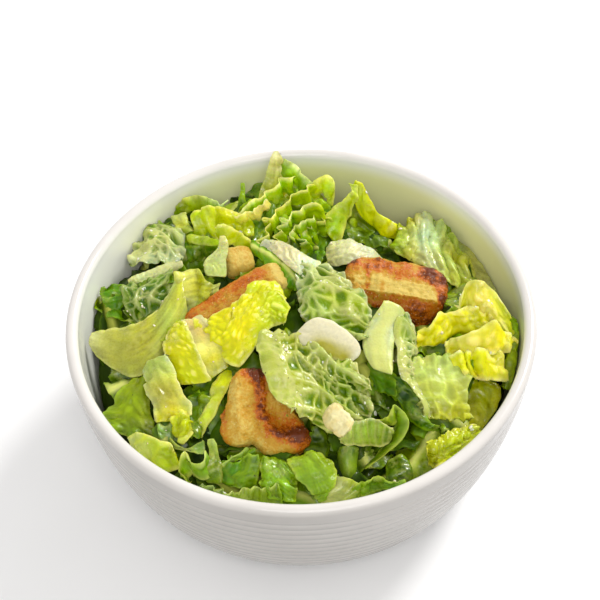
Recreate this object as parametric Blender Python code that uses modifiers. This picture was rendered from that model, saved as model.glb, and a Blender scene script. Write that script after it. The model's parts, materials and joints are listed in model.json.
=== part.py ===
"""Caesar salad in a ribbed white bowl, for Blender 4.5. Lengths are in metres, +Z is up, and the origin is
at the centre of the bowl's foot. The bowl is a turned solid. The lettuce is one heaped solid that follows the
bowl's inner wall, cut round the croutons and the cheese that rest in it."""

import math

import bmesh
import bpy
import numpy as np

MM = 0.001
GAP = 0.3 * MM  # clearance between pieces that touch
SECTORS = 48  # steps round the bowl and the heap

# Bowl
RIM_RADIUS = 85 * MM
BOWL_HEIGHT = 68 * MM
LIP_THICKNESS = 4.6 * MM
UNDERSIDE_HEIGHT = 2.6 * MM
UNDERSIDE_RADIUS = 53 * MM
FLOOR_THICKNESS = 5 * MM
FLOOR_RADIUS = 50 * MM
WALL_LEVELS = 10  # points up the inner wall
LIP_LEVELS = 7  # points over the lip
WALL_FULLNESS = 3.1  # how square the wall's curve is, across and up
WALL_LEAN = 1.38
FOOT_OUTER_RADIUS = 49.5 * MM
FOOT_INNER_RADIUS = 45.5 * MM
FOOT_ROUNDING = 1.2 * MM
FOOT_RECESS = 1.6 * MM
RIB_COUNT = 12
RIB_PITCH = 4.1 * MM  # along the wall
RIB_START = 6 * MM  # from the rim, along the wall
RIB_RELIEF = 0.14 * MM

# Lettuce heap: a dome that falls towards the wall, with mounds and hollows (x, y, height, radius)
HEAP_CENTRE_HEIGHT = 66 * MM
HEAP_FALL = 15 * MM
HEAP_FALL_POWER = 2.5
HEAP_RINGS = 12  # steps from the centre to the wall
HEAP_WALL_RINGS = 6  # steps down the wall
HEAP_MOUNDS = (
    (5 * MM, -15 * MM, 9 * MM, 22 * MM),
    (-4 * MM, 60 * MM, 8 * MM, 17 * MM),
    (-8 * MM, 72 * MM, 13 * MM, 6 * MM),
    (60 * MM, 2 * MM, 7 * MM, 15 * MM),
    (-60 * MM, 4 * MM, 5 * MM, 16 * MM),
    (52 * MM, -32 * MM, 3 * MM, 13 * MM),
    (47 * MM, 50 * MM, -14 * MM, 21 * MM),
    (30 * MM, -60 * MM, -6 * MM, 11 * MM),
    (-66 * MM, -26 * MM, -5 * MM, 12 * MM),
    (-40 * MM, 34 * MM, -5 * MM, 9 * MM),
)
FOLD_HEIGHT = 1.5 * MM
FOLD_LENGTHS = (21 * MM, 16 * MM, 12.5 * MM)
FOLD_DIRECTIONS = (25, 95, 160)  # degrees

# Colours: red, green, blue, roughness
GLAZE = (0.9, 0.89, 0.87, 0.15)
LETTUCE = (0.42, 0.56, 0.08, 0.4)
TOAST = (0.62, 0.33, 0.08, 0.5)
DARK_TOAST = (0.42, 0.16, 0.04, 0.4)
CHEESE = (0.86, 0.8, 0.55, 0.45)


def start_empty():
    for obj in list(bpy.data.objects):
        bpy.data.objects.remove(obj)
    for name in ("caesar_salad", "cutters"):
        collection = bpy.data.collections.new(name)
        bpy.context.scene.collection.children.link(collection)


def material(name, finish):
    made = bpy.data.materials.new(name)
    made.use_nodes = True
    shader = made.node_tree.nodes["Principled BSDF"]
    shader.inputs["Base Color"].default_value = (*finish[:3], 1)
    shader.inputs["Roughness"].default_value = finish[3]
    shader.inputs["Metallic"].default_value = 0
    return made


def add_object(name, mesh, finish, collection="caesar_salad"):
    obj = bpy.data.objects.new(name, mesh)
    bpy.data.collections[collection].objects.link(obj)
    if not mesh.materials:
        mesh.materials.append(material(name, finish))
    return obj


# ---------------------------------------------------------------- bowl


def wall_curve(inner_radius, outer_radius, low, high, count):
    """A quarter of a superellipse in (radius, height), from the floor's edge up to the rim."""
    turn = np.linspace(0, math.pi / 2, count)
    radius = inner_radius + (outer_radius - inner_radius) * np.sin(turn) ** (2 / WALL_FULLNESS)
    height = low + (high - low) * (1 - np.cos(turn) ** (2 / WALL_LEAN))
    return np.stack([radius, height], axis=1)


def along(curve, distances):
    """Points on a polyline at these distances from its last point, and the unit normals on its right."""
    steps = np.linalg.norm(np.diff(curve, axis=0), axis=1)
    reach = np.concatenate([[0], np.cumsum(steps)])
    wanted = reach[-1] - distances
    points = np.stack([np.interp(wanted, reach, curve[:, k]) for k in (0, 1)], axis=1)
    ahead = np.stack([np.interp(wanted + MM / 2, reach, curve[:, k]) for k in (0, 1)], axis=1)
    direction = ahead - points
    direction /= np.linalg.norm(direction, axis=1)[:, None]
    return points, np.stack([direction[:, 1], -direction[:, 0]], axis=1)


def inner_wall():
    """The bowl's inner wall from the floor's edge to the lip."""
    lip = LIP_THICKNESS / 2
    return wall_curve(
        FLOOR_RADIUS,
        RIM_RADIUS - LIP_THICKNESS,
        UNDERSIDE_HEIGHT + FLOOR_THICKNESS,
        BOWL_HEIGHT - lip,
        WALL_LEVELS,
    )


def outer_wall():
    """The ribbed outer wall from the lip down to the underside: crests and valleys by turns."""
    fine_count, plain_count = 200, 5
    smooth = wall_curve(
        UNDERSIDE_RADIUS,
        RIM_RADIUS,
        UNDERSIDE_HEIGHT,
        BOWL_HEIGHT - LIP_THICKNESS / 2,
        fine_count,
    )
    halves = np.arange(2 * RIB_COUNT + 1)
    distances = RIB_START + halves * RIB_PITCH / 2
    points, normals = along(smooth, distances)
    relief = np.where(halves % 2 == 0, -RIB_RELIEF, RIB_RELIEF)
    ribs = points + normals * relief[:, None]
    below = smooth[smooth[:, 1] < ribs[-1, 1] - MM][::-1]
    return np.concatenate([ribs, below[:: max(1, len(below) // plain_count)], smooth[:1]])


def lip_arc():
    """The rounded lip, from the inner wall over the top to the outer wall."""
    rounding = LIP_THICKNESS / 2
    turn = np.linspace(math.pi, 0, LIP_LEVELS)
    radius = RIM_RADIUS - rounding + rounding * np.cos(turn)
    height = BOWL_HEIGHT - rounding + rounding * np.sin(turn)
    return np.stack([radius, height], axis=1)


def bowl_profile():
    """The whole section: floor, inner wall, lip, ribbed outer wall, foot ring and recess."""
    inside = inner_wall()
    foot = [
        (FOOT_OUTER_RADIUS + FOOT_ROUNDING, UNDERSIDE_HEIGHT - FOOT_ROUNDING / 2),
        (FOOT_OUTER_RADIUS, FOOT_ROUNDING / 2),
        (FOOT_OUTER_RADIUS - FOOT_ROUNDING / 2, 0),
        (FOOT_INNER_RADIUS, 0),
        (FOOT_INNER_RADIUS - FOOT_ROUNDING / 2, FOOT_RECESS),
        (0, FOOT_RECESS),
    ]
    floor = [(0, inside[0, 1]), (FLOOR_RADIUS / 2, inside[0, 1])]
    return [*floor, *inside[:-1], *lip_arc(), *outer_wall(), *foot]


def build_bowl():
    """The bowl: its section turned round the axis with a Screw modifier."""
    profile = bowl_profile()
    mesh = bpy.data.meshes.new("bowl")
    points = [(radius, 0, height) for radius, height in profile]
    edges = [(k, k + 1) for k in range(len(points) - 1)]
    mesh.from_pydata(points, edges, [])
    bowl = add_object("bowl", mesh, GLAZE)
    turned = bowl.modifiers.new("Turned", "SCREW")
    turned.axis = "Z"
    turned.steps = SECTORS
    turned.render_steps = SECTORS
    turned.use_merge_vertices = True
    turned.merge_threshold = 0.05 * MM
    turned.use_smooth_shade = True
    return bowl


# ---------------------------------------------------------------- toppings


def rounded_block(name, halves, roundness, cuts, shape=None):
    """A cube of quads drawn onto a superellipsoid of half sizes halves, then reshaped by a rule that takes
    and gives points in metres. roundness 2 is an ellipsoid, and 8 nearly a box."""
    bm = bmesh.new()
    bmesh.ops.create_cube(bm, size=2)
    bmesh.ops.subdivide_edges(bm, edges=bm.edges, cuts=cuts, use_grid_fill=True)
    cube = np.array([v.co for v in bm.verts])
    length = (np.abs(cube) ** roundness).sum(axis=1) ** (1 / roundness)
    points = cube / length[:, None] * np.array(halves)
    if shape:
        points = shape(points)
    for vertex, point in zip(bm.verts, points):
        vertex.co = point
    mesh = bpy.data.meshes.new(name)
    bm.to_mesh(mesh)
    bm.free()
    mesh.shade_smooth()
    return mesh


def mound(points, centre, radius):
    """A soft round weight that is 1 at centre, in the plane of x and y, and falls off over radius."""
    away = (points[:, 0] - centre[0]) ** 2 + (points[:, 1] - centre[1]) ** 2
    return np.exp(-away / radius**2)


def share_along(values, half):
    """How far along from -half to half each value lies, from 0 to 1."""
    return np.clip(values / (2 * half) + 0.5, 0, 1)


def torn_bread(points):
    """The front crouton: narrow at the back, two pillows split by a notch, and a hollow in the right one."""
    narrowing, lean = 0.6, 2.5 * MM
    pillow, pillow_rise = (-9.5 * MM, 0), 1.6 * MM
    hollow, hollow_depth = (6.5 * MM, -1 * MM), 3 * MM
    step_x, step, step_softness = -5 * MM, 4.5 * MM, 1.5 * MM
    notch_x, notch_depth, notch_width = -4.5 * MM, 3 * MM, 2.5 * MM
    out = points.copy()
    back = share_along(points[:, 1], np.abs(points[:, 1]).max())
    front = 1 - back
    out[:, 0] = points[:, 0] * (1.02 - narrowing * back) - lean * back
    left_of_step = 1 / (1 + np.exp((out[:, 0] - step_x) / step_softness))
    out[:, 1] += step * left_of_step * front
    upper = points[:, 2] > 0
    out[:, 2] += upper * pillow_rise * mound(out, pillow, 9 * MM)
    out[:, 2] -= upper * hollow_depth * mound(out, hollow, 5.5 * MM)
    notch = np.exp(-(((out[:, 0] - notch_x) / notch_width) ** 2))
    out[:, 1] += notch_depth * notch * front**2
    return out


def baguette_end(points):
    """The right crouton: a thick slice with a raised rounded crust round its back, narrower at the front."""
    half_length, half_depth = 19 * MM, 12 * MM
    crust_rise, narrowing = 2 * MM, 0.12
    out = points.copy()
    behind = np.maximum(points[:, 1], 0) / half_depth
    rim = np.clip(np.hypot(points[:, 0] / half_length, behind), 0, 1)
    out[:, 2] += (points[:, 2] > 0) * crust_rise * rim**3
    out[:, 0] *= 1 - narrowing * np.clip(-points[:, 1] / half_depth, 0, 1)
    return out


def long_crust(points):
    """The left crouton: a long finger that thins towards its left end."""
    left_width, left_height = 0.6, 0.7
    out = points.copy()
    right = share_along(points[:, 0], 20 * MM)
    out[:, 1] *= left_width + (1 - left_width) * right
    out[:, 2] *= left_height + (1 - left_height) * right
    return out


def shaved(points):
    """The cheese shaving: domed, thin towards its edge, drawn out to a point at the right."""
    half_length, half_depth = 12 * MM, 8 * MM
    pointing, drop, droop = 0.45, 3 * MM, 2 * MM
    out = points.copy()
    right = share_along(points[:, 0], half_length)
    out[:, 1] = points[:, 1] * (1 - pointing * right**2) - drop * right**2
    across = (points[:, 0] / half_length) ** 2 + (points[:, 1] / half_depth) ** 2
    out[:, 2] = points[:, 2] * (1.15 - 0.45 * np.clip(across, 0, 1)) - droop * across
    return out


def crumbled(points):
    """The cheese lump: broken, thicker at its left end."""
    taper, half_length = 0.3, 5 * MM
    wave, wave_length = 0.8 * MM, 10 * MM
    out = points.copy()
    out[:, 2] *= 1 - taper * np.clip(points[:, 0] / half_length, -1, 1)
    out[:, 1] += wave * np.sin(math.tau * points[:, 0] / wave_length)
    return out


# name, half sizes in mm, roundness, cuts, rule, centre in mm, turn in degrees, finish
TOPPINGS = (
    ("crouton_front", (17, 15.5, 7), 4, 5, torn_bread, (-13.5, -40, 62), (25, 0, 3), TOAST),
    ("crouton_right", (19.5, 12, 10), 3.2, 5, baguette_end, (34.5, 13.5, 58), (4, 6, -9), DARK_TOAST),
    ("crouton_left", (21, 8, 8), 4, 4, long_crust, (-24, 10, 61), (8, -8, 27), TOAST),
    ("crouton_back", (5.7, 5.7, 6.6), 3, 3, None, (-22.5, 29.5, 62), (12, 0, 10), TOAST),
    ("cheese_shaving", (12.4, 8.5, 2.6), 2.6, 4, shaved, (9.3, -21, 76), (42, 6, -12), CHEESE),
    ("cheese_lump", (6.5, 3.6, 3), 3, 3, crumbled, (11.5, -49, 68.5), (30, 0, -38), CHEESE),
)


def build_toppings():
    made = []
    for name, halves, roundness, cuts, rule, centre, turn, finish in TOPPINGS:
        halves_m = [half * MM for half in halves]
        mesh = rounded_block(name, halves_m, roundness, cuts, rule)
        topping = add_object(name, mesh, finish)
        topping.location = [place * MM for place in centre]
        topping.rotation_euler = [math.radians(angle) for angle in turn]
        made.append(topping)
    return made


# ---------------------------------------------------------------- lettuce heap


def heap_top(x, y):
    """Height of the lettuce: a falling dome, its mounds, and leaf folds as waves in three directions."""
    share = np.hypot(x, y) / RIM_RADIUS
    height = HEAP_CENTRE_HEIGHT - HEAP_FALL * share**HEAP_FALL_POWER
    for mound_x, mound_y, rise, radius in HEAP_MOUNDS:
        away = ((x - mound_x) ** 2 + (y - mound_y) ** 2) / radius**2
        height = height + rise * np.exp(-away)
    for length, degrees in zip(FOLD_LENGTHS, FOLD_DIRECTIONS):
        across = x * math.cos(math.radians(degrees)) + y * math.sin(math.radians(degrees))
        height = height + FOLD_HEIGHT * np.sin(math.tau * across / length)
    return height


def build_heap():
    """The heap as a loft of rings: its top from the centre out, then down the bowl's wall to its floor."""
    angle = np.arange(SECTORS) * math.tau / SECTORS
    cos, sin = np.cos(angle), np.sin(angle)
    wall = inner_wall()
    floor = wall[0, 1] + GAP

    def wall_radius(height):
        return np.interp(height - GAP, wall[:, 1], wall[:, 0]) - GAP

    edge_radius = np.full(SECTORS, RIM_RADIUS - LIP_THICKNESS - 2 * GAP)
    for _ in range(3):
        edge_height = heap_top(edge_radius * cos, edge_radius * sin)
        edge_radius = wall_radius(edge_height)
    loops = []
    for share in np.linspace(0, 1, HEAP_RINGS + 1)[1:-1]:
        x, y = share * edge_radius * cos, share * edge_radius * sin
        loops.append(np.stack([x, y, heap_top(x, y)], axis=1))
    closer_below = 1.6  # the rings draw together where the wall curves into the floor
    for share in np.linspace(1, 0, HEAP_WALL_RINGS) ** closer_below:
        height = floor + share * (edge_height - floor)
        radius = wall_radius(height)
        loops.append(np.stack([radius * cos, radius * sin, height], axis=1))
    top = [(0, 0, float(heap_top(0, 0)))]
    points = top + [tuple(p) for loop in loops for p in loop] + [(0, 0, floor)]
    last = len(points) - 1
    faces = []
    for k in range(SECTORS):
        after = (k + 1) % SECTORS
        faces.append((0, 1 + k, 1 + after))
        for ring in range(len(loops) - 1):
            low, high = 1 + ring * SECTORS, 1 + (ring + 1) * SECTORS
            faces.append((low + k, high + k, high + after, low + after))
        ring_start = 1 + (len(loops) - 1) * SECTORS
        faces.append((ring_start + k, last, ring_start + after))
    mesh = bpy.data.meshes.new("lettuce_heap")
    mesh.from_pydata(points, [], faces)
    mesh.shade_smooth()
    return add_object("lettuce_heap", mesh, LETTUCE)


def cut_round(heap, toppings):
    """Cuts each topping's seat out of the heap, with a clear gap all round."""
    for topping in toppings:
        seat = bpy.data.objects.new(topping.name + "_seat", topping.data)
        bpy.data.collections["cutters"].objects.link(seat)
        seat.location = topping.location
        seat.rotation_euler = topping.rotation_euler
        seat.hide_render = True
        seat.display_type = "WIRE"
        swell = seat.modifiers.new("Clearance", "DISPLACE")
        swell.strength = GAP
        swell.mid_level = 0
        cut = heap.modifiers.new(topping.name, "BOOLEAN")
        cut.operation = "DIFFERENCE"
        cut.solver = "EXACT"
        cut.object = seat


def main():
    start_empty()
    build_bowl()
    toppings = build_toppings()
    heap = build_heap()
    cut_round(heap, toppings)


main()
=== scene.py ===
"""Caesar salad in a ribbed white bowl: the fine surfaces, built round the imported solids.

It is laid out as a Blender 4.5 add-on and run as a script. Places and sizes of the salad's pieces are in
millimetres from the centre of the bowl's foot, +Z up, and MM turns them into metres."""

import json
import math

import bpy
import numpy as np
from mathutils import Matrix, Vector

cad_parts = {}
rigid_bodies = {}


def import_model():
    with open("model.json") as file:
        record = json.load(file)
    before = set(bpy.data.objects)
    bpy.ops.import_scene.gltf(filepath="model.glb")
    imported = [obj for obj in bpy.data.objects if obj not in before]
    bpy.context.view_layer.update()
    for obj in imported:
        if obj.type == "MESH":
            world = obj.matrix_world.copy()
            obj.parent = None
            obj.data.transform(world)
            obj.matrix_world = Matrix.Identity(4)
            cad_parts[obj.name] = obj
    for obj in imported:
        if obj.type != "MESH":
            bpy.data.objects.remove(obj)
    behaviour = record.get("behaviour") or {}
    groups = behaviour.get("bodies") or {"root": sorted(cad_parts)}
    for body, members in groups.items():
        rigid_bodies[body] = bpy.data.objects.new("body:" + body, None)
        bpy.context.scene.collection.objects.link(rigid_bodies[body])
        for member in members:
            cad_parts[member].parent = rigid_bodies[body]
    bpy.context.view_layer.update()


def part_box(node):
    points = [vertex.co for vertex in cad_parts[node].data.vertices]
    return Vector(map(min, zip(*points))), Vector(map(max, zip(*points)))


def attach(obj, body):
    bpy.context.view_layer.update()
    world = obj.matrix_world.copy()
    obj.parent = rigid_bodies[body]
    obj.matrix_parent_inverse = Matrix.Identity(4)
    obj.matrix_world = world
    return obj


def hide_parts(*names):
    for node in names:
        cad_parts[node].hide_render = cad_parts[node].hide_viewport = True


bl_info = {
    "name": "Caesar Salad Bowl",
    "version": (1, 0, 0),
    "blender": (4, 5, 0),
    "location": "3D View > Sidebar > Salad",
    "description": "Builds a heaped caesar salad of romaine, croutons and cheese in a ribbed bowl",
    "category": "Add Mesh",
}

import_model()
MM = 0.001
BODY = "root"
RIM_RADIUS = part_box("bowl")[1].x / MM
RIM_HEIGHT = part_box("bowl")[1].z / MM

# ---------------------------------------------------------------- numbers over surfaces


def srgb(red, green, blue):
    """A colour named in 0 to 255 steps, as the linear light that Blender's sockets hold."""
    share = np.array([red, green, blue]) / 255
    return tuple(np.where(share <= 0.04045, share / 12.92, ((share + 0.055) / 1.055) ** 2.4))


def lattice(x, y, seed):
    """A fixed random value from 0 to 1 for whole x and y: their bits mixed by multiplying and folding."""
    mixed = (x.astype(np.int64) * 374761393 + y.astype(np.int64) * 668265263 + seed * 144665) & 0xFFFFFFFF
    mixed = ((mixed ^ (mixed >> 13)) * 1274126177) & 0xFFFFFFFF
    return ((mixed ^ (mixed >> 16)) & 0xFFFFFF) / float(0xFFFFFF)


def noise(x, y, seed):
    """Smooth noise from -1 to 1: the four lattice values round a point, blended by smoothsteps."""
    x0, y0 = np.floor(x), np.floor(y)
    fx, fy = x - x0, y - y0
    fx, fy = fx * fx * (3 - 2 * fx), fy * fy * (3 - 2 * fy)
    low = lattice(x0, y0, seed) * (1 - fx) + lattice(x0 + 1, y0, seed) * fx
    high = lattice(x0, y0 + 1, seed) * (1 - fx) + lattice(x0 + 1, y0 + 1, seed) * fx
    return 2 * (low * (1 - fy) + high * fy) - 1


def rough(x, y, seed, octaves=3):
    """Noise at several scales: each octave is twice as fine and half as strong."""
    total = 0
    for k in range(octaves):
        total = total + noise(x * 2**k, y * 2**k, seed + 17 * k) / 2**k
    return total


def rough3(points, scale, seed, octaves=3):
    """Noise over a solid's surface: the mean of the noise on its three planes."""
    x, y, z = (points / scale).T
    total = rough(x + 9.1, y, seed, octaves) + rough(y, z + 4.7, seed + 5, octaves)
    return (total + rough(z, x + 2.3, seed + 9, octaves)) / 2


def cells(x, y, seed):
    """Distances to the nearest and second nearest of one jittered seed point in each unit square, and a
    random value of the nearest one's cell."""
    x0, y0 = np.floor(x), np.floor(y)
    first = np.full(np.shape(x), 9.0)
    second, chance = first.copy(), first.copy()
    for step_x in (-1, 0, 1):
        for step_y in (-1, 0, 1):
            cell_x, cell_y = x0 + step_x, y0 + step_y
            away = np.hypot(
                cell_x + 0.1 + 0.8 * lattice(cell_x, cell_y, seed) - x,
                cell_y + 0.1 + 0.8 * lattice(cell_x, cell_y, seed + 3) - y,
            )
            chance = np.where(away < first, lattice(cell_x, cell_y, seed + 7), chance)
            second = np.minimum(second, np.maximum(first, away))
            first = np.minimum(first, away)
    return first, second, chance


def smooth(low, high, value):
    """A smoothstep: 0 below low, 1 above high."""
    share = np.clip((value - low) / (high - low), 0, 1)
    return share * share * (3 - 2 * share)


def follow(knots, share):
    """A smooth curve through evenly spaced knots: cubics whose slopes are the mean of the two chords."""
    knots = np.asarray(knots, float)
    count = len(knots) - 1
    slope = np.gradient(knots, axis=0)
    place = np.clip(share, 0, 1) * count
    start = np.minimum(place.astype(int), count - 1)
    f = (place - start)[..., None]
    a, b, slope_a, slope_b = knots[start], knots[start + 1], slope[start], slope[start + 1]
    return (
        a * (2 * f**3 - 3 * f**2 + 1) + b * (3 * f**2 - 2 * f**3)
        + slope_a * (f**3 - 2 * f**2 + f) + slope_b * (f**3 - f**2)
    )


def unit(vectors):
    """Vectors of length 1, which point the same way."""
    return vectors / np.maximum(np.linalg.norm(vectors, axis=-1, keepdims=True), 1e-12)


# ---------------------------------------------------------------- surfaces into meshes


class Surface:
    """Points in millimetres, faces of three or four corners, and a value of each attribute at each point."""

    def __init__(self):
        self.points, self.faces, self.values, self.count = [], [], {}, 0

    def add(self, points, faces, **values):
        points = np.asarray(points, float).reshape(-1, 3)
        self.points.append(points)
        self.faces += [np.asarray(group) + self.count for group in faces]
        for name, value in values.items():
            self.values.setdefault(name, []).append(np.asarray(value, float).reshape(len(points), -1))
        self.count += len(points)

    def mesh(self, name, material):
        """The finished object at the origin, riding on the salad's one body."""
        points = np.concatenate(self.points) * MM
        mesh = bpy.data.meshes.new(name)
        mesh.vertices.add(len(points))
        mesh.vertices.foreach_set("co", points.astype(np.float32).ravel())
        corners = np.concatenate([group.ravel() for group in self.faces])
        sizes = np.concatenate([np.full(len(group), group.shape[1]) for group in self.faces])
        mesh.loops.add(len(corners))
        mesh.loops.foreach_set("vertex_index", corners.astype(np.int32))
        mesh.polygons.add(len(sizes))
        starts = np.concatenate([[0], np.cumsum(sizes)[:-1]])
        mesh.polygons.foreach_set("loop_start", starts.astype(np.int32))
        mesh.polygons.foreach_set("use_smooth", np.ones(len(sizes), bool))
        mesh.update(calc_edges=True)
        for attribute, parts in self.values.items():
            value = np.concatenate(parts).astype(np.float32)
            if value.shape[1] == 1:
                mesh.attributes.new(attribute, "FLOAT", "POINT").data.foreach_set("value", value.ravel())
            else:
                value = np.pad(value, ((0, 0), (0, 1)), constant_values=1)
                made = mesh.attributes.new(attribute, "FLOAT_COLOR", "POINT")
                made.data.foreach_set("color", value.ravel())
        if mesh.validate(verbose=False):
            raise RuntimeError(f"the surface of {name} had bad faces")
        mesh.materials.append(material)
        piece = bpy.data.objects.new(name, mesh)
        bpy.context.scene.collection.objects.link(piece)
        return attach(piece, BODY)


def grid_faces(rows, columns, closed=False):
    """Quads over a grid of points numbered row by row; closed joins the last column to the first."""
    row, column = np.meshgrid(np.arange(rows - 1), np.arange(columns - (not closed)), indexing="ij")
    after = (column + 1) % columns
    here, below = row * columns, (row + 1) * columns
    corners = [here + column, below + column, below + after, here + after]
    return np.stack([corner.ravel() for corner in corners], axis=1)


def shell(top, bottom, flip):
    """Two facing grids closed by a band round their edges."""
    rows, columns = top.shape[:2]
    size = rows * columns
    index = np.arange(size).reshape(rows, columns)
    upper = grid_faces(rows, columns)
    rim = np.concatenate([index[:-1, 0], index[-1, :-1], index[:0:-1, -1], index[0, :0:-1]])
    ahead = np.roll(rim, -1)
    band = np.stack([ahead, rim, rim + size, ahead + size], axis=1)
    faces = np.concatenate([upper, upper[:, ::-1] + size, band])
    return np.concatenate([top.reshape(-1, 3), bottom.reshape(-1, 3)]), faces[:, ::-1] if flip else faces


def cube_sphere(cuts):
    """The surface of a cube from -1 to 1 as six welded grids with a finer step near the edges."""
    line = np.linspace(-1, 1, cuts + 1)
    line = np.tan(line * math.pi / 4)
    a, b = np.meshgrid(line, line, indexing="ij")
    one = np.ones_like(a)
    sides = [(one, a, b), (-one, b, a), (b, one, a), (a, -one, b), (a, b, one), (b, a, -one)]
    points = np.concatenate([np.stack(side, axis=-1).reshape(-1, 3) for side in sides])
    size = (cuts + 1) ** 2
    faces = np.concatenate([grid_faces(cuts + 1, cuts + 1) + k * size for k in range(6)])
    _, first, where = np.unique(np.round(points, 6), axis=0, return_index=True, return_inverse=True)
    return points[first], where.ravel()[faces]


def face_normals(points, faces):
    """Each point's normal, from the crossed diagonals of the quads round it."""
    a, b, c, d = (points[faces[:, k]] for k in range(4))
    crossed = np.cross(c - a, d - b)
    total = np.zeros_like(points)
    for k in range(4):
        np.add.at(total, faces[:, k], crossed)
    return unit(total)


# ---------------------------------------------------------------- the bowl's wall and the heap's height


FLOOR_RADIUS, FLOOR_HEIGHT, LIP_THICKNESS = 50, 7.6, 4.6
WALL_FULLNESS, WALL_LEAN = 3.1, 1.38
CLEARANCE = 0.5  # between the salad and the wall


def wall_curve(inner_radius, outer_radius, low, high, count):
    """A quarter of a superellipse in (radius, height), from the floor's edge up to the rim."""
    turn = np.linspace(0, math.pi / 2, count)
    radius = inner_radius + (outer_radius - inner_radius) * np.sin(turn) ** (2 / WALL_FULLNESS)
    height = low + (high - low) * (1 - np.cos(turn) ** (2 / WALL_LEAN))
    return np.stack([radius, height], axis=1)


INNER_WALL = wall_curve(
    FLOOR_RADIUS, RIM_RADIUS - LIP_THICKNESS, FLOOR_HEIGHT, RIM_HEIGHT - LIP_THICKNESS / 2, 200
)


def inside(points):
    """Points drawn in towards the axis wherever they would pass through the bowl's inner wall."""
    radius = np.hypot(points[..., 0], points[..., 1])
    limit = np.interp(points[..., 2], INNER_WALL[:, 1], INNER_WALL[:, 0]) - CLEARANCE
    share = np.minimum(1, limit / np.maximum(radius, 1e-6))
    return np.concatenate([points[..., :2] * share[..., None], points[..., 2:]], axis=-1)


HEAP_HEIGHT, HEAP_FALL, HEAP_FALL_POWER = 66, 15, 2.5
HEAP_MOUNDS = (  # x, y, rise, radius
    (5, -15, 9, 22), (-4, 60, 8, 17), (-8, 72, 13, 6), (60, 2, 7, 15), (-60, 4, 5, 16), (52, -32, 3, 13),
    (47, 50, -14, 21), (30, -60, -6, 11), (-66, -26, -5, 12), (-40, 34, -5, 9),
)


def heap_top(x, y):
    """The heap's height: a dome that falls to the wall, with round mounds and hollows."""
    height = HEAP_HEIGHT - HEAP_FALL * (np.hypot(x, y) / RIM_RADIUS) ** HEAP_FALL_POWER
    for mound_x, mound_y, rise, radius in HEAP_MOUNDS:
        height = height + rise * np.exp(-((x - mound_x) ** 2 + (y - mound_y) ** 2) / radius**2)
    return height


# ---------------------------------------------------------------- leaves


PLAIN = dict(  # the look of a leaf, where its kind or its own entry says nothing else
    tints=((120, 160, 45),),  # along the leaf
    margin=None, margin_width=4,  # colour of the long edges, and how far in it reaches
    rib=None,  # place of the midrib across the leaf at its start and end, -1 to 1, and its half width
    vein_gap=7, vein_turn=55, vein_width=0.55, vein_rise=0.25,
    cell=4.5, blister=0.45, net=0.5, net_width=0.75,
    frill=(0, 0, 0, 0), frill_length=8.5, frill_reach=3.2,  # left, right, start, end
    sway=0.8, sway_length=13, pleat=0, pleat_length=8.5,
    # shade: a factor on the leaf's tone; below 1 it is painted shade for a leaf lying in shadow
    thickness=0.38, rib_thickness=1.0, ragged=0.8, corner=8, dressing=0.1, shade=1,
    crease=0.7, crease_length=11, pucker=0.35, grain=0.05, fine=1,
    streaks=0, lean=0,  # fine streaks along the leaf, and how much darker its second long edge is painted, as painted shade
)


VIEW_TILT = math.radians(50)  # how far above the table a diner looks down on the bowl
TOWARDS_DINER = np.array([0, -math.cos(VIEW_TILT), math.sin(VIEW_TILT)])
COVER_SIZE, COVER_BELOW = 220, 70  # squares of a millimetre: in all, and below the middle
BARE = -1000.0  # a square with nothing laid in it


def cover_squares(points):
    """The square of each point in the plane that a diner looks along."""
    sideways = np.floor(points[..., 0] + COVER_SIZE / 2).astype(int)
    upwards = points[..., 1] * math.sin(VIEW_TILT) + points[..., 2] * math.cos(VIEW_TILT)
    upwards = np.floor(upwards).astype(int) + COVER_BELOW
    return np.clip(sideways, 1, COVER_SIZE - 2), np.clip(upwards, 1, COVER_SIZE - 2)


def cover_map(points):
    """How near the diner the laid pieces reach in each square, spread to the squares round it."""
    nearest = np.full((COVER_SIZE, COVER_SIZE), BARE)
    np.maximum.at(nearest, cover_squares(points), points @ TOWARDS_DINER)
    for axis in (0, 1):
        nearest = np.maximum(nearest, np.maximum(np.roll(nearest, 1, axis), np.roll(nearest, -1, axis)))
    return nearest


def sinking(points, cover, margin=1.5, most=22):
    """How far a strewn leaf sinks, away from the diner, to lie wholly behind the laid pieces."""
    reach = cover[cover_squares(points)]
    excess = np.where(reach > BARE, points @ TOWARDS_DINER + margin - reach, 0)
    return min(max(float(excess.max()), 0), most)


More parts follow.
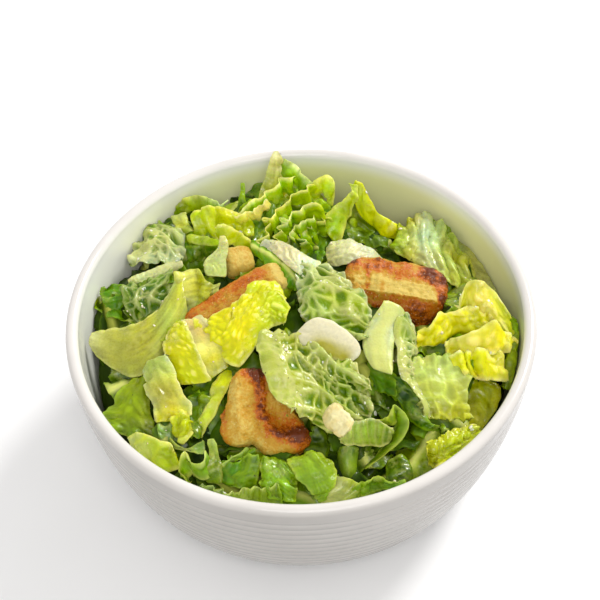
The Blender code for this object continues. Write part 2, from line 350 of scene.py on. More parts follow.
def leaf(surface, rows, seed, step, look, cover=None):
    """A torn piece of leaf between two long edges, each a smooth curve through the rows' points. In between
    it is the chord from edge to edge, lifted by camber * (1 - v * v), v from -1 to 1 across. The square's
    corners are rounded by a superellipse and its outline made ragged by noise. Along the normal it then gets:
    slow noise for the sway; sines that die away from the edges for the frill; sines along it for the pleats;
    a ridge for each side vein, which leave the midrib at a set angle and spacing; and a net of cells whose
    middles bulge by the blister. Both faces follow the same middle surface, half the thickness away, and thin
    down at the outline."""
    look = {**PLAIN, **look}
    step = step * look["fine"]
    rows = np.asarray(rows, float)
    across = rows[:, 3:6] - rows[:, :3]
    width = np.linalg.norm(across, axis=1)
    broad = np.flatnonzero(width > 0.6 * min(2.5, width.max()))
    nearest = broad[np.abs(np.arange(len(rows))[:, None] - broad).argmin(axis=1)]
    half_width = np.maximum(width / 2, 0.7)
    span = unit(across)[nearest] * half_width[:, None]
    middle = (rows[:, :3] + rows[:, 3:6]) / 2
    length = np.linalg.norm(np.diff(middle, axis=0), axis=1).sum()
    u, v = np.meshgrid(
        np.linspace(-1, 1, max(7, int(length / step) + 1)),
        np.linspace(-1, 1, max(7, int(2 * half_width.max() / step) + 1)),
        indexing="ij",
    )
    power = look["corner"]
    square = np.maximum(np.abs(u), np.abs(v))
    rounded = (np.abs(u) ** power + np.abs(v) ** power) ** (1 / power)
    pull = np.where(square < 1e-6, 1, square / np.maximum(rounded, 1e-9))
    half = follow(half_width[:, None], (u + 1) / 2)[..., 0]
    rag = look["ragged"]
    torn_end = rough(v * half / 6, u * 0.7, seed) + 0.25 * rough(v * half / 1.7, u * 0.7, seed + 15)
    torn_side = rough(u * length / 14, v * 0.7, seed + 1) + 0.25 * rough(u * length / 3.4, v * 0.7, seed + 16)
    u2 = u * pull + rag / (length / 2) * torn_end * smooth(0.5, 1, np.abs(u))
    v2 = v * pull + rag / half * torn_side * smooth(0.5, 1, np.abs(v))
    carried = follow(np.concatenate([middle, span, rows[:, 6:7], half_width[:, None]], axis=1), (u2 + 1) / 2)
    half = np.maximum(carried[..., 7], 0.6)
    points = carried[..., :3] + carried[..., 3:6] * v2[..., None]

    def normals(at):
        return unit(np.cross(np.gradient(at, axis=0), np.gradient(at, axis=1)))

    normal = normals(points)
    flip = (normal @ np.array([0, -0.6, 0.8])).mean() < 0
    sign = -1 if flip else 1
    points = points + sign * normal * (0.8 * carried[..., 6] * (1 - np.clip(v2, -1, 1) ** 2))[..., None]

    a, b = u2 * length / 2, v2 * half
    start, end, left, right = ((1 + u) * length / 2, (1 - u) * length / 2, (1 + v) * half, (1 - v) * half)
    edge_distance = np.minimum(np.minimum(start, end), np.minimum(left, right))
    lift = 1.5 * look["sway"] * rough(a / look["sway_length"] + 3, b / look["sway_length"], seed + 2, 2)
    phase = 2 * noise(a / 20, b / 20, seed + 4)
    wave = math.tau / look["frill_length"]
    for height, distance, along in zip(look["frill"], (left, right, start, end), (a, a, b, b)):
        if height:
            ripple = np.sin(along * wave + 2 * phase + height) + 0.4 * np.sin(along * wave * 2.3 + 3 * phase)
            ripple = ripple * (0.6 + 0.5 * noise(along / 9, distance / 9, seed + 5))
            fade = np.exp(-distance / look["frill_reach"])
            lift = lift + 1.35 * height * min(1, half_width.max() / 7) * fade * ripple
    if look["pleat"]:
        turned = math.tau * (a + 4 * noise(a / 12, b / 12, seed + 6)) / look["pleat_length"]
        uneven = 0.7 + 0.55 * noise(a / 7, b / 12, seed + 7)
        lift = lift + look["pleat"] * uneven * (np.sin(turned + b * 0.05) + 0.3 * np.sin(2.3 * turned))
    folds = 1 - 2.2 * np.abs(noise(a / look["crease_length"] + 7, 1.5 * b / look["crease_length"], seed + 17))
    lift = lift + look["crease"] * folds
    points = points + sign * normals(points) * lift[..., None]

    bend_a = a + 1.9 * noise(a / 6, b / 6, seed + 8) + 2.5 * noise(a / 17, b / 13, seed + 18)
    bend_b = b + 1.9 * noise(a / 6 + 5, b / 6, seed + 9) + 2.5 * noise(a / 13 + 9, b / 17, seed + 19)
    rib = np.zeros_like(a)
    off = np.abs(bend_b) + 3
    if look["rib"]:
        place_start, place_end, rib_half = look["rib"]
        line = (place_start + (place_end - place_start) * (u2 + 1) / 2) * half
        off = np.abs(b + 0.5 * noise(a / 8, 0 * a, seed + 10) - line)
        rib = 1 / (1 + (off / rib_half) ** 4)
    turn = math.radians(look["vein_turn"])
    order = (bend_a - off / math.tan(turn)) / look["vein_gap"]
    from_vein = np.abs(order - np.round(order)) * look["vein_gap"] * math.sin(turn)
    vein = np.exp(-((from_vein / look["vein_width"]) ** 2))
    first, second, chance = cells(bend_a / look["cell"], bend_b / look["cell"], seed + 11)
    net = np.exp(-(((second - first) * look["cell"] / look["net_width"]) ** 2)) * look["net"]
    dome = (1 - np.exp(-3.2 * (second - first))) * (1 - 0.7 * vein) * (0.45 + 0.75 * chance)
    fine = rough(a / 1.6, b / 1.6, seed + 12, 2)
    side = np.sign(look["blister"]) or 1
    relief = (
        look["blister"] * dome + look["pucker"] * np.cos(math.tau * order)
        - side * look["vein_rise"] * np.maximum(vein, 0.6 * net) + look["grain"] * fine
    )
    calm = 0.55 + 0.75 * smooth(-0.45, 0.4, noise(a / 13, b / 13, seed + 20))
    relief = relief * calm * (1 - rib) * smooth(0, 2.5, edge_distance + 1)
    normal = sign * normals(points)
    points = points + normal * relief[..., None]

    thin = 0.45 + 0.55 * smooth(0, 1.6, edge_distance)
    thickness = look["thickness"] * thin + look["rib_thickness"] * rib * smooth(0, 0.9, edge_distance)
    thickness = thickness[..., None]
    if cover is not None:
        points = points - TOWARDS_DINER * sinking(points, cover)
    top, bottom = inside(points + normal * thickness / 2), inside(points - normal * thickness / 2)

    tints = np.array([srgb(*tint) for tint in look["tints"]])
    tint = follow(tints, (u2 + 1) / 2) if len(tints) > 1 else np.broadcast_to(tints[0], top.shape)
    if look["margin"]:
        near = np.exp(-((np.minimum(left, right) / look["margin_width"]) ** 2))[..., None]
        tint = tint * (1 - near) + np.array(srgb(*look["margin"])) * near
    # a shade below 1 is painted shade
    tone = look["shade"] * (1 + 0.22 * rough(a / 9, b / 9, seed + 13, 2)) * (0.9 + 0.2 * chance)
    tone = tone * (1 + look["streaks"] * rough(a / 9, b / 1.1, seed + 22, 2))
    # painted shade: one long edge darker and the other lighter, as if light fell from one side
    tone = tone * (1 - look["lean"] * np.clip(v2, -1, 1))
    ripe = rough(a / 11 + 4, b / 11, seed + 21, 2)  # yellower one way, greener the other
    ripened = np.stack([tone * (1 + 0.14 * ripe), tone, tone * (1 - 0.25 * ripe)], axis=-1)
    tint = np.clip(tint * ripened, 0.002, 1)
    wet = smooth(0.15, 0.75, rough(a / 6, b / 6, seed + 14) * 0.7 + look["dressing"])
    hollow = 1 - dome if look["blister"] > 0 else dome
    cut = np.exp(-((edge_distance / 0.7) ** 2))
    marks = np.stack([rib, np.maximum(vein * 0.9, net), wet], axis=-1)
    # painted highlight: the tops of the blisters, turned to the light, tinted paler cream
    crest_highlight = smooth(0.5, 1.05, dome) * (look["blister"] > 0) * (1 - rib)
    relief_marks = np.stack([cut, hollow, crest_highlight], axis=-1)
    both = [np.concatenate([value.reshape(-1, 3)] * 2) for value in (tint, marks, relief_marks)]
    vertices, faces = shell(top, bottom, flip)
    surface.add(vertices, [faces], tint=both[0], marks=both[1], relief=both[2])


# Kinds of leaf, each as its differences from PLAIN; every listed leaf names its own tints
KINDS = {
    "heart": dict(  # the yellow blistered inner leaves
        cell=3.9, blister=0.6, net=0.55, vein_gap=8, vein_rise=0.3, sway=1.0, frill=(1.1, 1.1, 0.7, 0.7),
        thickness=0.42, dressing=0.2,
    ),
    "pale": dict(  # half translucent pale pieces near the rib
        cell=5, blister=0.2, net=0.25, vein_gap=6, vein_rise=0.2, sway=0.7, frill=(0.5, 0.5, 0.3, 0.3),
        thickness=0.6, dressing=0.15, streaks=0.2,
    ),
    "green": dict(
        cell=4, blister=0.5, vein_gap=6.5, vein_rise=0.3, sway=1.1, frill=(1, 1, 0.8, 0.8), dressing=0.05,
        crease=1.0,
    ),
    "lime": dict(net=0.4, sway=0.9, frill=(1, 1, 0.6, 0.6), margin=(215, 220, 130), margin_width=1.6),
    "dressed": dict(  # undersides up: raised pale veins, green hollows, dressing in between
        cell=3.8, blister=-0.75, net=0.9, vein_gap=6, vein_rise=0.45, vein_width=0.75, sway=1.2, crease=1.0,
    ),
    "rib": dict(  # thick pale midribs
        cell=7, blister=0.08, net=0.1, vein_gap=2.6, vein_turn=8, vein_width=0.4, vein_rise=0.12, sway=0.3,
        corner=6, ragged=0.3, dressing=0.2,
    ),
}

# Each listed leaf's name, its kind, what differs from that kind's look, and its rows. Each row is a step
# along it: one long edge's x, y, z, the other edge's x, y, z, and how far the leaf bulges between them.
LEAVES = (
    ("back_left_ruffle", "green", dict(tints=((110, 155, 35), (140, 175, 60), (150, 185, 60), (140, 180, 40)),
     frill=(2, 1, 0.8, 0.8), frill_length=5, frill_reach=3, margin=(220, 228, 160), margin_width=1.1),
     ((-50, 64, 57, -48, 62, 53, 1), (-46, 66, 60, -44, 64, 54, 1), (-39, 67, 61, -38, 64, 55, 1),
     (-33, 65, 61, -32, 62, 55, 1), (-27, 61, 61, -27, 60, 55, 0.5))),
    ("back_left_yellow", "lime", dict(tints=((150, 185, 45), (178, 202, 50), (190, 206, 55), (175, 198, 50),
     (150, 185, 50)), pleat=0.5, pleat_length=9, blister=0.5, crease=1.4, crease_length=8,
     frill=(2, 1.6, 0.8, 0.8), frill_length=7, margin=(228, 232, 150), margin_width=0.9, corner=9),
     ((-41, 56, 63, -38, 47, 57, 0.5), (-35, 56, 66, -32, 46, 58, 1), (-29, 55, 66, -26, 45, 58, 1),
     (-23, 52, 66, -21, 44, 59, 1), (-17, 48, 66, -16, 45, 60, 0.5))),
    ("back_left_cream", "lime", dict(tints=((185, 205, 90), (210, 220, 140), (222, 226, 160)),
     frill=(1.4, 1, 0.5, 0.5), frill_length=5, corner=9, margin=(236, 238, 195), margin_width=1,
     thickness=0.3), ((-25, 51, 67, -23, 51, 62, 0.5), (-20, 52, 68, -18, 52, 62, 1),
     (-16, 53, 68, -14, 54, 63, 1), (-11, 56, 69, -9, 57, 64, 0.5))),
    ("back_left_block", "pale", dict(tints=((190, 210, 150), (180, 205, 130), (165, 195, 110)),
     frill=(0.8, 0.8, 0.5, 0.5)), ((-50, 59, 58, -43, 58, 60, 0.5), (-49, 54, 58, -42, 53, 60, 1),
     (-47, 48, 58, -40, 48, 60, 0.5))),
    ("ruffle_middle", "lime", dict(tints=((165, 195, 45), (175, 200, 50), (160, 190, 40)), pleat=0.8,
     pleat_length=5, frill=(1.6, 1.4, 0.8, 0.8), frill_length=6, margin=(228, 232, 150), margin_width=0.9),
     ((-31, 48, 64, -33, 46, 59, 0.5), (-25, 46, 64, -28, 43, 59, 1), (-20, 42, 64, -23, 39, 59, 1),
     (-16, 37, 63, -18, 35, 58, 0.5))),
    ("ruffle_front", "green", dict(tints=((75, 125, 22), (85, 135, 28), (110, 160, 40)),
     frill=(1.8, 1, 0.8, 0.8), frill_length=5.5, frill_reach=3.5, margin=(165, 195, 80), margin_width=0.9),
     ((-43, 43, 58, -42, 40, 53, 1), (-36, 42, 60, -36, 40, 54, 1), (-30, 39, 61, -30, 38, 55, 1),
     (-24, 37, 61, -25, 35, 56, 0.5))),
    ("back_left_band", "pale", dict(tints=((170, 198, 95), (160, 190, 85), (150, 185, 70)), corner=9,
     frill=(0.5, 0.4, 0.3, 0.3), blister=0.1), ((-43, 46, 61, -42, 42, 60, 0.5),
     (-36, 44, 62, -36, 40, 61, 0.5), (-29, 41, 63, -30, 38, 62, 0.5))),
    ("back_under", "lime", dict(tints=((140, 185, 45), (120, 165, 35), (100, 150, 25)), frill=(2, 2, 1, 1),
     margin=(205, 220, 110), margin_width=1.3), ((-47, 54, 56, -44, 43, 54, 1), (-38, 52, 57, -36, 43, 55, 1),
     (-28, 50, 60, -27, 42, 58, 1), (-18, 50, 60, -18, 44, 58, 0))),
    ("accordion", "green", dict(tints=((110, 160, 30), (90, 140, 20), (100, 150, 30)), pleat=1.5,
     pleat_length=7, sway=1.2, frill=(2, 1, 1, 1), margin=(170, 200, 70), margin_width=1.5),
     ((-24, 60, 60, -18, 40, 54, 0), (-13, 62, 62, -10, 36, 55, 0), (-4, 62, 63, -3, 34, 55, 0),
     (6, 62, 63, 6, 34, 54, 0), (14, 59, 60, 12, 38, 52, 0))),
    ("fold_e", "lime", dict(pleat=2.1, tints=((165, 200, 60), (130, 180, 40), (150, 190, 50)),
     frill=(2.2, 0.5, 0.5, 0.5), frill_length=6.5, frill_reach=3.5, margin=(235, 236, 165), margin_width=1,
     corner=10, ragged=0.4, sway=1), ((-22, 52, 64, -20, 51, 55, 1), (-18, 57, 66, -16, 56, 57, 1),
     (-12, 60, 67, -10, 59, 58, 1), (-6, 66, 69, -4, 65, 60, 1), (0, 68, 70, 2, 67, 61, 1))),
    ("fold_d", "lime", dict(pleat=2.1, pleat_length=5, tints=((140, 185, 45), (120, 170, 30)),
     frill=(2.2, 0.5, 0.5, 0.5), frill_length=6.5, frill_reach=3.5, margin=(235, 236, 165), margin_width=1,
     corner=10, ragged=0.4, sway=1), ((1, 38, 62, 3, 37, 53, 1), (3, 43, 63, 5, 42, 54, 1),
     (7, 46, 65, 9, 45, 56, 1), (13, 50, 64, 15, 49, 55, 1))),
    ("fold_c", "lime", dict(pleat=2.1, pleat_length=6, tints=((160, 195, 50), (130, 175, 35)),
     frill=(2.2, 0.5, 0.5, 0.5), frill_length=6.5, frill_reach=3.5, margin=(235, 236, 165), margin_width=1,
     corner=10, ragged=0.4, sway=1), ((-4, 40, 63, -2, 39, 54, 1), (-2, 45, 64, 0, 44, 55, 1),
     (3, 47, 66, 5, 46, 57, 1), (7, 49, 67, 9, 48, 58, 1))),
    ("fold_b", "lime", dict(pleat=2.1, pleat_length=5.5, tints=((150, 190, 40), (125, 175, 35),
     (160, 195, 55)), frill=(2.2, 0.5, 0.5, 0.5), frill_length=6.5, frill_reach=3.5, margin=(235, 236, 165),
     margin_width=1, corner=10, ragged=0.4, sway=1), ((-9, 39, 64, -7, 38, 55, 1),
     (-7, 44, 65, -5, 43, 56, 1), (-5, 48, 66, -3, 47, 57, 1), (0, 50, 68, 2, 49, 59, 1),
     (9, 53, 70, 11, 52, 61, 1))),
    ("fold_a", "lime", dict(pleat=2.1, pleat_length=7.5, tints=((170, 200, 50), (140, 185, 40),
     (165, 200, 60)), frill=(2.2, 0.5, 0.5, 0.5), frill_length=6.5, frill_reach=3.5, margin=(235, 236, 165),
     margin_width=1, corner=10, ragged=0.4, sway=1), ((-16, 36, 65, -14, 35, 56, 1),
     (-12, 43, 65, -10, 42, 56, 1), (-13, 48, 66, -11, 47, 57, 1), (-8, 51, 67, -6, 50, 58, 1),
     (-2, 57, 69, 0, 56, 60, 1), (8, 63, 70, 10, 62, 61, 1))),
    ("tip", "pale", dict(tints=((165, 192, 60), (200, 212, 115), (224, 228, 165), (232, 234, 190)),
     ragged=0.5, frill=(0.5, 0.3, 0, 0), corner=14, thickness=0.35, crease=0.3),
     ((-16, 59, 57, 0, 57, 57, 0.5), (-15, 64, 62, -1, 66, 62, 0.5), (-12, 69, 68, -3, 71, 68, 0.5),
     (-10, 72, 73, -5, 73, 73, 0.5), (-8, 75, 76, -7, 75, 76, 0))),
    ("back_blade", "green", dict(tints=((130, 175, 35), (150, 190, 45), (140, 185, 45)),
     margin=(225, 232, 165), margin_width=1.6, frill=(1.2, 0.8, 0.5, 0.5), corner=9),
     ((-4, 73, 74, -4, 71, 67, 0.5), (0, 71, 72, -2, 67, 64, 1), (3, 68, 70, 2, 65, 62, 1),
     (7, 65, 67, 7, 62, 61, 0))),
    ("back_loop", "lime", dict(tints=((165, 195, 50),)), ((6, 65, 67, 7, 63, 62, 1),
     (12, 67, 69, 11, 64, 64, 2), (15, 64, 66, 13, 62, 62, 1), (15, 58, 60, 12, 61, 58, 0))),
    ("spike", "green", dict(tints=((130, 175, 35), (150, 190, 50)), ragged=0.2, frill=(0, 0, 0, 0), corner=12,
     crease=0.1, blister=0.05, sway=0.2), ((-24, 61, 57, -19, 61, 57, 0.5), (-23, 65, 60, -20, 65, 60, 0.5),
     (-22, 68, 62, -20, 68, 62, 0), (-21, 70, 64, -21, 70, 64, 0))),
    ("arch", "lime", dict(crease=0.3, tints=((165, 190, 30), (170, 190, 22), (188, 195, 20), (200, 195, 45)),
     thickness=0.5, frill=(0.4, 0.4, 0.4, 0.3), margin=(205, 212, 60), margin_width=1, blister=0.2, corner=10,
     ragged=0.4), ((23, 61, 73, 22, 60, 69, 0), (26, 60, 71, 23, 56, 65, 0.5), (28, 56, 68, 25, 52, 61, 1),
     (31, 52, 64, 29, 50, 57, 1), (36, 51, 60, 34, 47, 54, 1), (40, 50, 57, 40, 47, 52, 0))),
    ("arch_left", "lime", dict(tints=((170, 195, 35), (178, 202, 40), (165, 195, 35), (150, 185, 30)),
     frill=(0.5, 0.8, 0.3, 0.8), blister=0.3, corner=10, margin=(214, 222, 120)),
     ((21, 60, 72, 24, 59, 73, 0.5), (21, 57, 70, 23, 56, 67, 0.5), (18, 55, 67, 21, 53, 62, 1),
     (13, 53, 64, 18, 48, 59, 1.5), (9, 51, 61, 15, 42, 54, 1))),
    ("arch_hollow", "green", dict(tints=((130, 145, 70), (100, 130, 40), (85, 125, 15)), blister=0.2),
     ((22, 58, 65, 26, 58, 62, 0.5), (18, 55, 60, 29, 54, 56, -1), (17, 51, 55, 35, 51, 51, -1),
     (19, 44, 52, 37, 45, 49, 0))),
    ("right_back_dark", "green", dict(tints=((110, 150, 30), (125, 160, 40)), frill=(1.2, 0.6, 0.5, 0.5)),
     ((53, 56, 53, 55, 48, 50, 0.5), (59, 54, 52, 60, 44, 49, 1), (64, 48, 51, 64, 38, 48, 0.5))),
    ("right_panel", "pale", dict(tints=((170, 178, 95), (168, 172, 108), (165, 168, 112)), blister=0.05,
     frill=(0.4, 0.3, 0.3, 0.3), sway=0.5, crease=0.3, corner=9, vein_rise=0.1),
     ((60, 47, 52, 56, 31, 51, 0.5), (67, 41, 51, 62, 21, 50, 1), (73, 31, 50, 68, 16, 49, 1),
     (76, 19, 49, 72, 12, 48, 0.5))),
    ("right_back", "pale", dict(tints=((165, 192, 60), (195, 210, 115), (212, 220, 160), (200, 212, 125),
     (175, 188, 90), (165, 175, 95)), pleat=1.1, pleat_length=6.5, frill=(1.6, 0.6, 0.8, 0.3), frill_length=6,
     blister=0.45, dressing=0.3, crease=0.6, vein_gap=4.5), ((39, 49, 56, 35, 40, 54, 0.5),
     (44, 54, 57, 42, 33, 55, 1), (49, 57, 57, 49, 28, 55, 1.5), (55, 53, 56, 56, 23, 54, 1.5),
     (60, 46, 55, 63, 18, 53, 1), (67, 34, 53, 69, 15, 51, 0.5))),
    ("cream_back", "rib", dict(tints=((190, 204, 130), (214, 220, 172), (224, 225, 190), (212, 214, 158)),
     thickness=0.7, vein_gap=3.4, frill=(0.5, 0.4, 0.3, 0.3), ragged=0.6, crease=0.3, sway=0.6, streaks=0.3,
     corner=8, shade=0.95), ((10, 33, 65, 11, 24, 64, 1), (15, 34, 67, 16, 23, 66, 1.5),
     (21, 33, 67, 21, 23, 66, 1), (26, 31, 65, 26, 25, 65, 0.5), (32, 29, 62, 31, 26, 62, 0))),
    ("left_dressed", "dressed", dict(tints=((160, 190, 105), (185, 205, 145), (200, 212, 165)), blister=-1,
     cell=4.6, net_width=1.2, dressing=0.5, frill=(2, 1.5, 1, 1), sway=1.6, margin=(225, 232, 200),
     margin_width=1.2), ((-61, 60, 53, -47, 53, 57, 2), (-64, 47, 55, -43, 41, 59, 3),
     (-66, 34, 57, -45, 30, 60, 2))),
    ("left_rib", "rib", dict(tints=((214, 224, 145), (222, 230, 165)), thickness=1.2),
     ((-65, 26, 60, -64, 23, 58, 1), (-56, 29, 61, -55, 25, 59, 1), (-44, 33, 62, -43, 29, 61, 1))),
    ("left_dark", "dressed", dict(tints=((62, 112, 18), (52, 104, 12), (62, 115, 22)), dressing=0.25,
     sway=2.2, frill=(1, 2.2, 1.5, 1)), ((-66, 23, 58, -65, 8, 55, 2), (-58, 24, 60, -56, 5, 57, 3),
     (-47, 28, 61, -47, 10, 60, 2))),
    ("far_left", "green", dict(tints=((95, 155, 35),), pleat=1, pleat_length=5),
     ((-76, 24, 58, -66, 24, 59, 2), (-75, 18, 57, -65, 17, 58, 2), (-72, 11, 55, -67, 9, 55, 1))),
    # slab: the whitish tint at its left end is a painted highlight, and its darker second long edge is
    # painted shade
    ("slab", "pale", dict(tints=((198, 202, 158), (168, 175, 105), (150, 160, 80), (152, 162, 80),
     (165, 178, 90), (178, 192, 95)), blister=0.03, sway=0.6, thickness=0.9, net=0.05, vein_gap=3.4,
     vein_turn=12, vein_rise=0.03, dressing=0.1, frill=(0.3, 0.3, 0, 0.3), corner=9, ragged=0.3, crease=0.15,
     pucker=0, streaks=0.35, lean=0.16, margin=(190, 198, 130), margin_width=0.9),
     ((-77, 1, 59, -78, -3, 56, 0.5), (-70, 1, 61, -71, -12, 56, 1), (-61, 1, 63, -61, -19, 57, 2),
     (-53, 5, 65, -54, -17, 59, 2), (-48, 13, 67, -47, -8, 61, 1.5), (-44, 22, 68, -41, 3, 63, 1))),
    ("left_fold", "pale", dict(tints=((170, 182, 90), (200, 212, 135), (175, 190, 90), (205, 214, 140)),
     pleat=0.9, pleat_length=8, blister=0.1, net=0.15, frill=(1, 0.6, 0.3, 0.5), corner=10, streaks=0.3,
     sway=0.8, dressing=0.2, crease=0.4, ragged=0.4), ((-47, 19, 66, -47, 6, 61, 1),
     (-44, 21, 68, -44, 5, 61, 1), (-38, 22, 69, -38, 6, 64, 1), (-34, 16, 68, -35, 9, 64, 1),
     (-29, 16, 67, -30, 13, 64, 0.5))),
    ("pale_point", "rib", dict(tints=((170, 190, 80), (205, 215, 130), (212, 220, 150)), thickness=1,
     corner=10, ragged=0.4), ((-35, 20, 66, -27, 19, 66, 1), (-35, 25, 69, -27, 25, 69, 1),
     (-30, 28, 73, -26, 28, 73, 0.5), (-29, 31, 76, -27, 31, 76, 0))),
    ("heart_main", "heart", dict(tints=((228, 224, 95), (220, 214, 48), (210, 210, 45), (192, 205, 58),
     (180, 202, 50)), blister=0.95, cell=2.7, grain=0.16, crease=0, sway=0.5, frill=(1, 0.8, 0.5, 0.8),
     vein_rise=0.15, net=0.3, margin=(238, 236, 150), margin_width=0.9), ((-38, -4, 69, -37, -7, 67, 1),
     (-32, -3, 71, -31, -16, 66, 1.5), (-24, 1, 73, -23, -24, 68, 2), (-16, 5, 74, -16, -19, 71, 2.5),
     (-10, 7, 74, -11, -11, 72, 2), (-3, -3, 73, -5, -10, 72, 1))),
    ("heart_top", "heart", dict(tints=((195, 208, 60), (185, 205, 45)), blister=1, cell=2.7, grain=0.16,
     crease=0, sway=0.5, corner=9, frill=(1.2, 0.5, 0.5, 0.8)), ((-21, 2, 72, -19, 7, 75, 1),
     (-15, 0, 73, -13, 9, 75, 1), (-10, -1, 73, -8, 8, 74, 1), (-6, -3, 72, -5, 3, 72, 0))),
    ("heart_left", "heart", dict(tints=((205, 215, 80), (212, 212, 45), (200, 208, 45)), blister=1, cell=2.7,
     grain=0.16, crease=0.1, margin=(240, 236, 175), margin_width=1.3, corner=9),
     ((-47, -3, 66, -41, -4, 70, 1), (-50, -9, 64, -38, -15, 71, 1), (-49, -16, 61, -35, -22, 69, 1),
     (-45, -24, 58, -31, -28, 65, 0.5))),
    ("heart_inner", "pale", dict(tints=((238, 238, 205), (222, 224, 160), (212, 216, 120), (190, 198, 80)),
     blister=0.03, vein_rise=0.03, net=0.05, frill=(0, 0, 0, 0), sway=0.4, corner=9, crease=0.1, pucker=0),
     ((-44, -2, 67, -35, -2, 71, -0.5), (-41, -12, 68, -30, -10, 70, -1), (-37, -21, 67, -27, -17, 68, -1),
     (-34, -26, 62, -26, -22, 65, 0))),
    ("stem_a", "lime", dict(tints=((165, 185, 60), (190, 205, 80), (200, 212, 90)), blister=0.1,
     thickness=0.8, margin=(215, 222, 130), margin_width=0.8, crease=0.4), ((-28, -22, 64, -23, -24, 64, 1),
     (-33, -31, 61, -28, -33, 61, 1), (-38, -39, 57, -34, -43, 57, 1), (-40, -43, 54, -37, -47, 54, 1))),
    ("stem_b", "green", dict(tints=((110, 145, 35), (90, 130, 25))), ((-36, -29, 60, -32, -31, 60, 2),
     (-39, -36, 57, -35, -39, 57, 2), (-41, -43, 55, -37, -46, 55, 1))),
    ("main_dressed", "dressed", dict(tints=((180, 194, 105), (162, 182, 82), (146, 172, 68), (160, 183, 88)),
     rib=(-0.85, -0.7, 4.4), rib_thickness=0.3, blister=-1.6, vein_rise=0.9, cell=4.4, net_width=1, net=1,
     vein_gap=8, vein_width=0.9, vein_turn=74, frill=(1, 2, 1.2, 1.2), frill_length=6.5, dressing=0.35,
     corner=6, margin=(225, 228, 170), margin_width=0.7), ((-13, -13, 74, 19, -27, 68, 0.5),
     (-16, -20, 75, 22, -34, 70, 1.5), (-14, -31, 76, 23, -40, 67, 2), (-11, -42, 74, 21, -46, 62, 1.5),
     (-3, -47, 71, 10, -50, 60, 1))),
    ("centre_dressed", "dressed", dict(tints=((205, 215, 165), (185, 205, 130), (165, 195, 100),
     (160, 192, 95)), blister=-1.1, cell=5, net_width=1.3, vein_gap=9, vein_rise=0.7, dressing=0.5,
     frill=(1.4, 1.6, 1, 1.4), sway=1.4, margin=(228, 234, 205), margin_width=1.2),
     ((-1, 21, 70, 11, 18, 70, 2), (-1, 11, 71, 19, 10, 70, 3), (-1, 2, 71, 24, 0, 71, 3),
     (1, -7, 70, 26, -8, 70, 2), (5, -12, 68, 23, -16, 68, 1))),
    ("white_strip", "rib", dict(tints=((226, 228, 185), (234, 234, 200), (215, 222, 160)), thickness=1,
     corner=9, vein_rise=0.06), ((-12, 37, 66, -14, 34, 65, 0.5), (-7, 33, 69, -8, 27, 68, 1),
     (1, 26, 71, -3, 19, 70, 1), (9, 20, 72, 2, 12, 71, 1))),
    ("gloss_green", "green", dict(tints=((80, 150, 20), (95, 165, 25), (70, 140, 15)), rib=(0, 0, 0.8),
     blister=0.25, sway=0.5), ((-18, 40, 63, -16, 34, 63, 1), (-10, 32, 66, -12, 26, 65, 2),
     (-1, 24, 68, -6, 16, 66, 2), (4, 14, 67, -2, 10, 65, 1))),
    ("rib_lower", "green", dict(tints=((115, 155, 60), (85, 130, 40), (60, 105, 25)), blister=0.2,
     frill=(0.5, 0.5, 0.3, 0.3)), ((23, -20, 62, 33, -25, 62, 0.5), (23, -24, 60, 33, -30, 61, 0.5),
     (24, -29, 58, 33, -35, 59, 0.5))),
    ("rib_point", "rib", dict(tints=((140, 165, 85), (180, 195, 150), (196, 206, 165), (192, 206, 145),
     (212, 220, 175)), rib=(-0.1, 0.1, 3.4), rib_thickness=0.3, thickness=0.5, blister=0.06, vein_gap=3,
     vein_turn=10, vein_rise=0.06, corner=9, crease=0.2, pucker=0, frill=(0.3, 0.3, 0.2, 0.2), sway=0.5,
     dressing=0.1, streaks=0.3, lean=-0.06, margin=(182, 202, 105), margin_width=1.4),
     ((24, -24, 64, 32, -28, 64, 0), (22, -18, 66, 32, -21, 65, 0.5), (22, -12, 67, 33, -13, 66, 0.5),
     (24, -8, 68, 36, -6, 67, 0.5), (27, -4, 70, 37, -2, 69, 0.5), (30, 0, 72, 32, 1, 71, 0))),
    ("rib_margin", "dressed", dict(tints=((150, 185, 85), (175, 200, 120), (195, 210, 155), (205, 218, 170),
     (180, 205, 130)), rib=(-0.7, -0.3, 1.6), rib_thickness=0.3, blister=-0.6, cell=3, net_width=0.8,
     margin=(232, 235, 205), margin_width=1.2, corner=9, crease=0.4, fine=0.8, frill=(0.4, 0.8, 0.3, 0.3),
     dressing=0.6), ((34, -2, 69, 39, -2, 67, 0.5), (33, -10, 68, 41, -7, 65, 1),
     (33, -16, 67, 42, -14, 63, 1), (33, -23, 66, 39, -21, 62, 1), (34, -27, 64, 39, -26, 61, 1),
     (37, -32, 62, 40, -32, 60, 0.5), (40, -37, 60, 42, -37, 58, 0.5), (42, -43, 57, 44, -42, 56, 0))),
    ("dark_strip", "green", dict(shade=0.78, tints=((50, 105, 15), (45, 98, 12), (55, 115, 15),
     (75, 135, 30)), blister=0.25, frill=(0.4, 0.4, 0, 0), margin=(120, 165, 60), margin_width=0.6),
     ((30, -25, 62, 35, -28, 64, 0.5), (31, -32, 60, 38, -33, 62, 0.5), (34, -38, 58, 41, -38, 60, 0.5),
     (38, -43, 56, 43, -43, 58, 0.5), (44, -46, 55, 46, -45, 57, 0), (51, -47, 54, 50, -45, 55, 0))),
    ("dark_under", "green", dict(shade=0.78, tints=((60, 100, 20),)), ((22, -15, 58, 32, -23, 58, 1),
     (22, -23, 57, 34, -32, 56, 1), (23, -33, 56, 37, -40, 54, 1))),
    ("right_top", "heart", dict(tints=((222, 216, 40), (238, 232, 120), (232, 228, 110), (190, 205, 55)),
     ragged=0.9, corner=9, sway=1.2, margin=(240, 236, 160), margin_width=1), ((56, 0, 66, 58, 2, 60, 0.5),
     (60, 5, 72, 61, -1, 60, 1), (64, 6, 74, 66, -4, 60, 2), (68, 5, 72, 70, -7, 60, 1.5),
     (72, 1, 69, 75, -8, 58, 1), (76, -3, 65, 78, -8, 57, 0.5))),
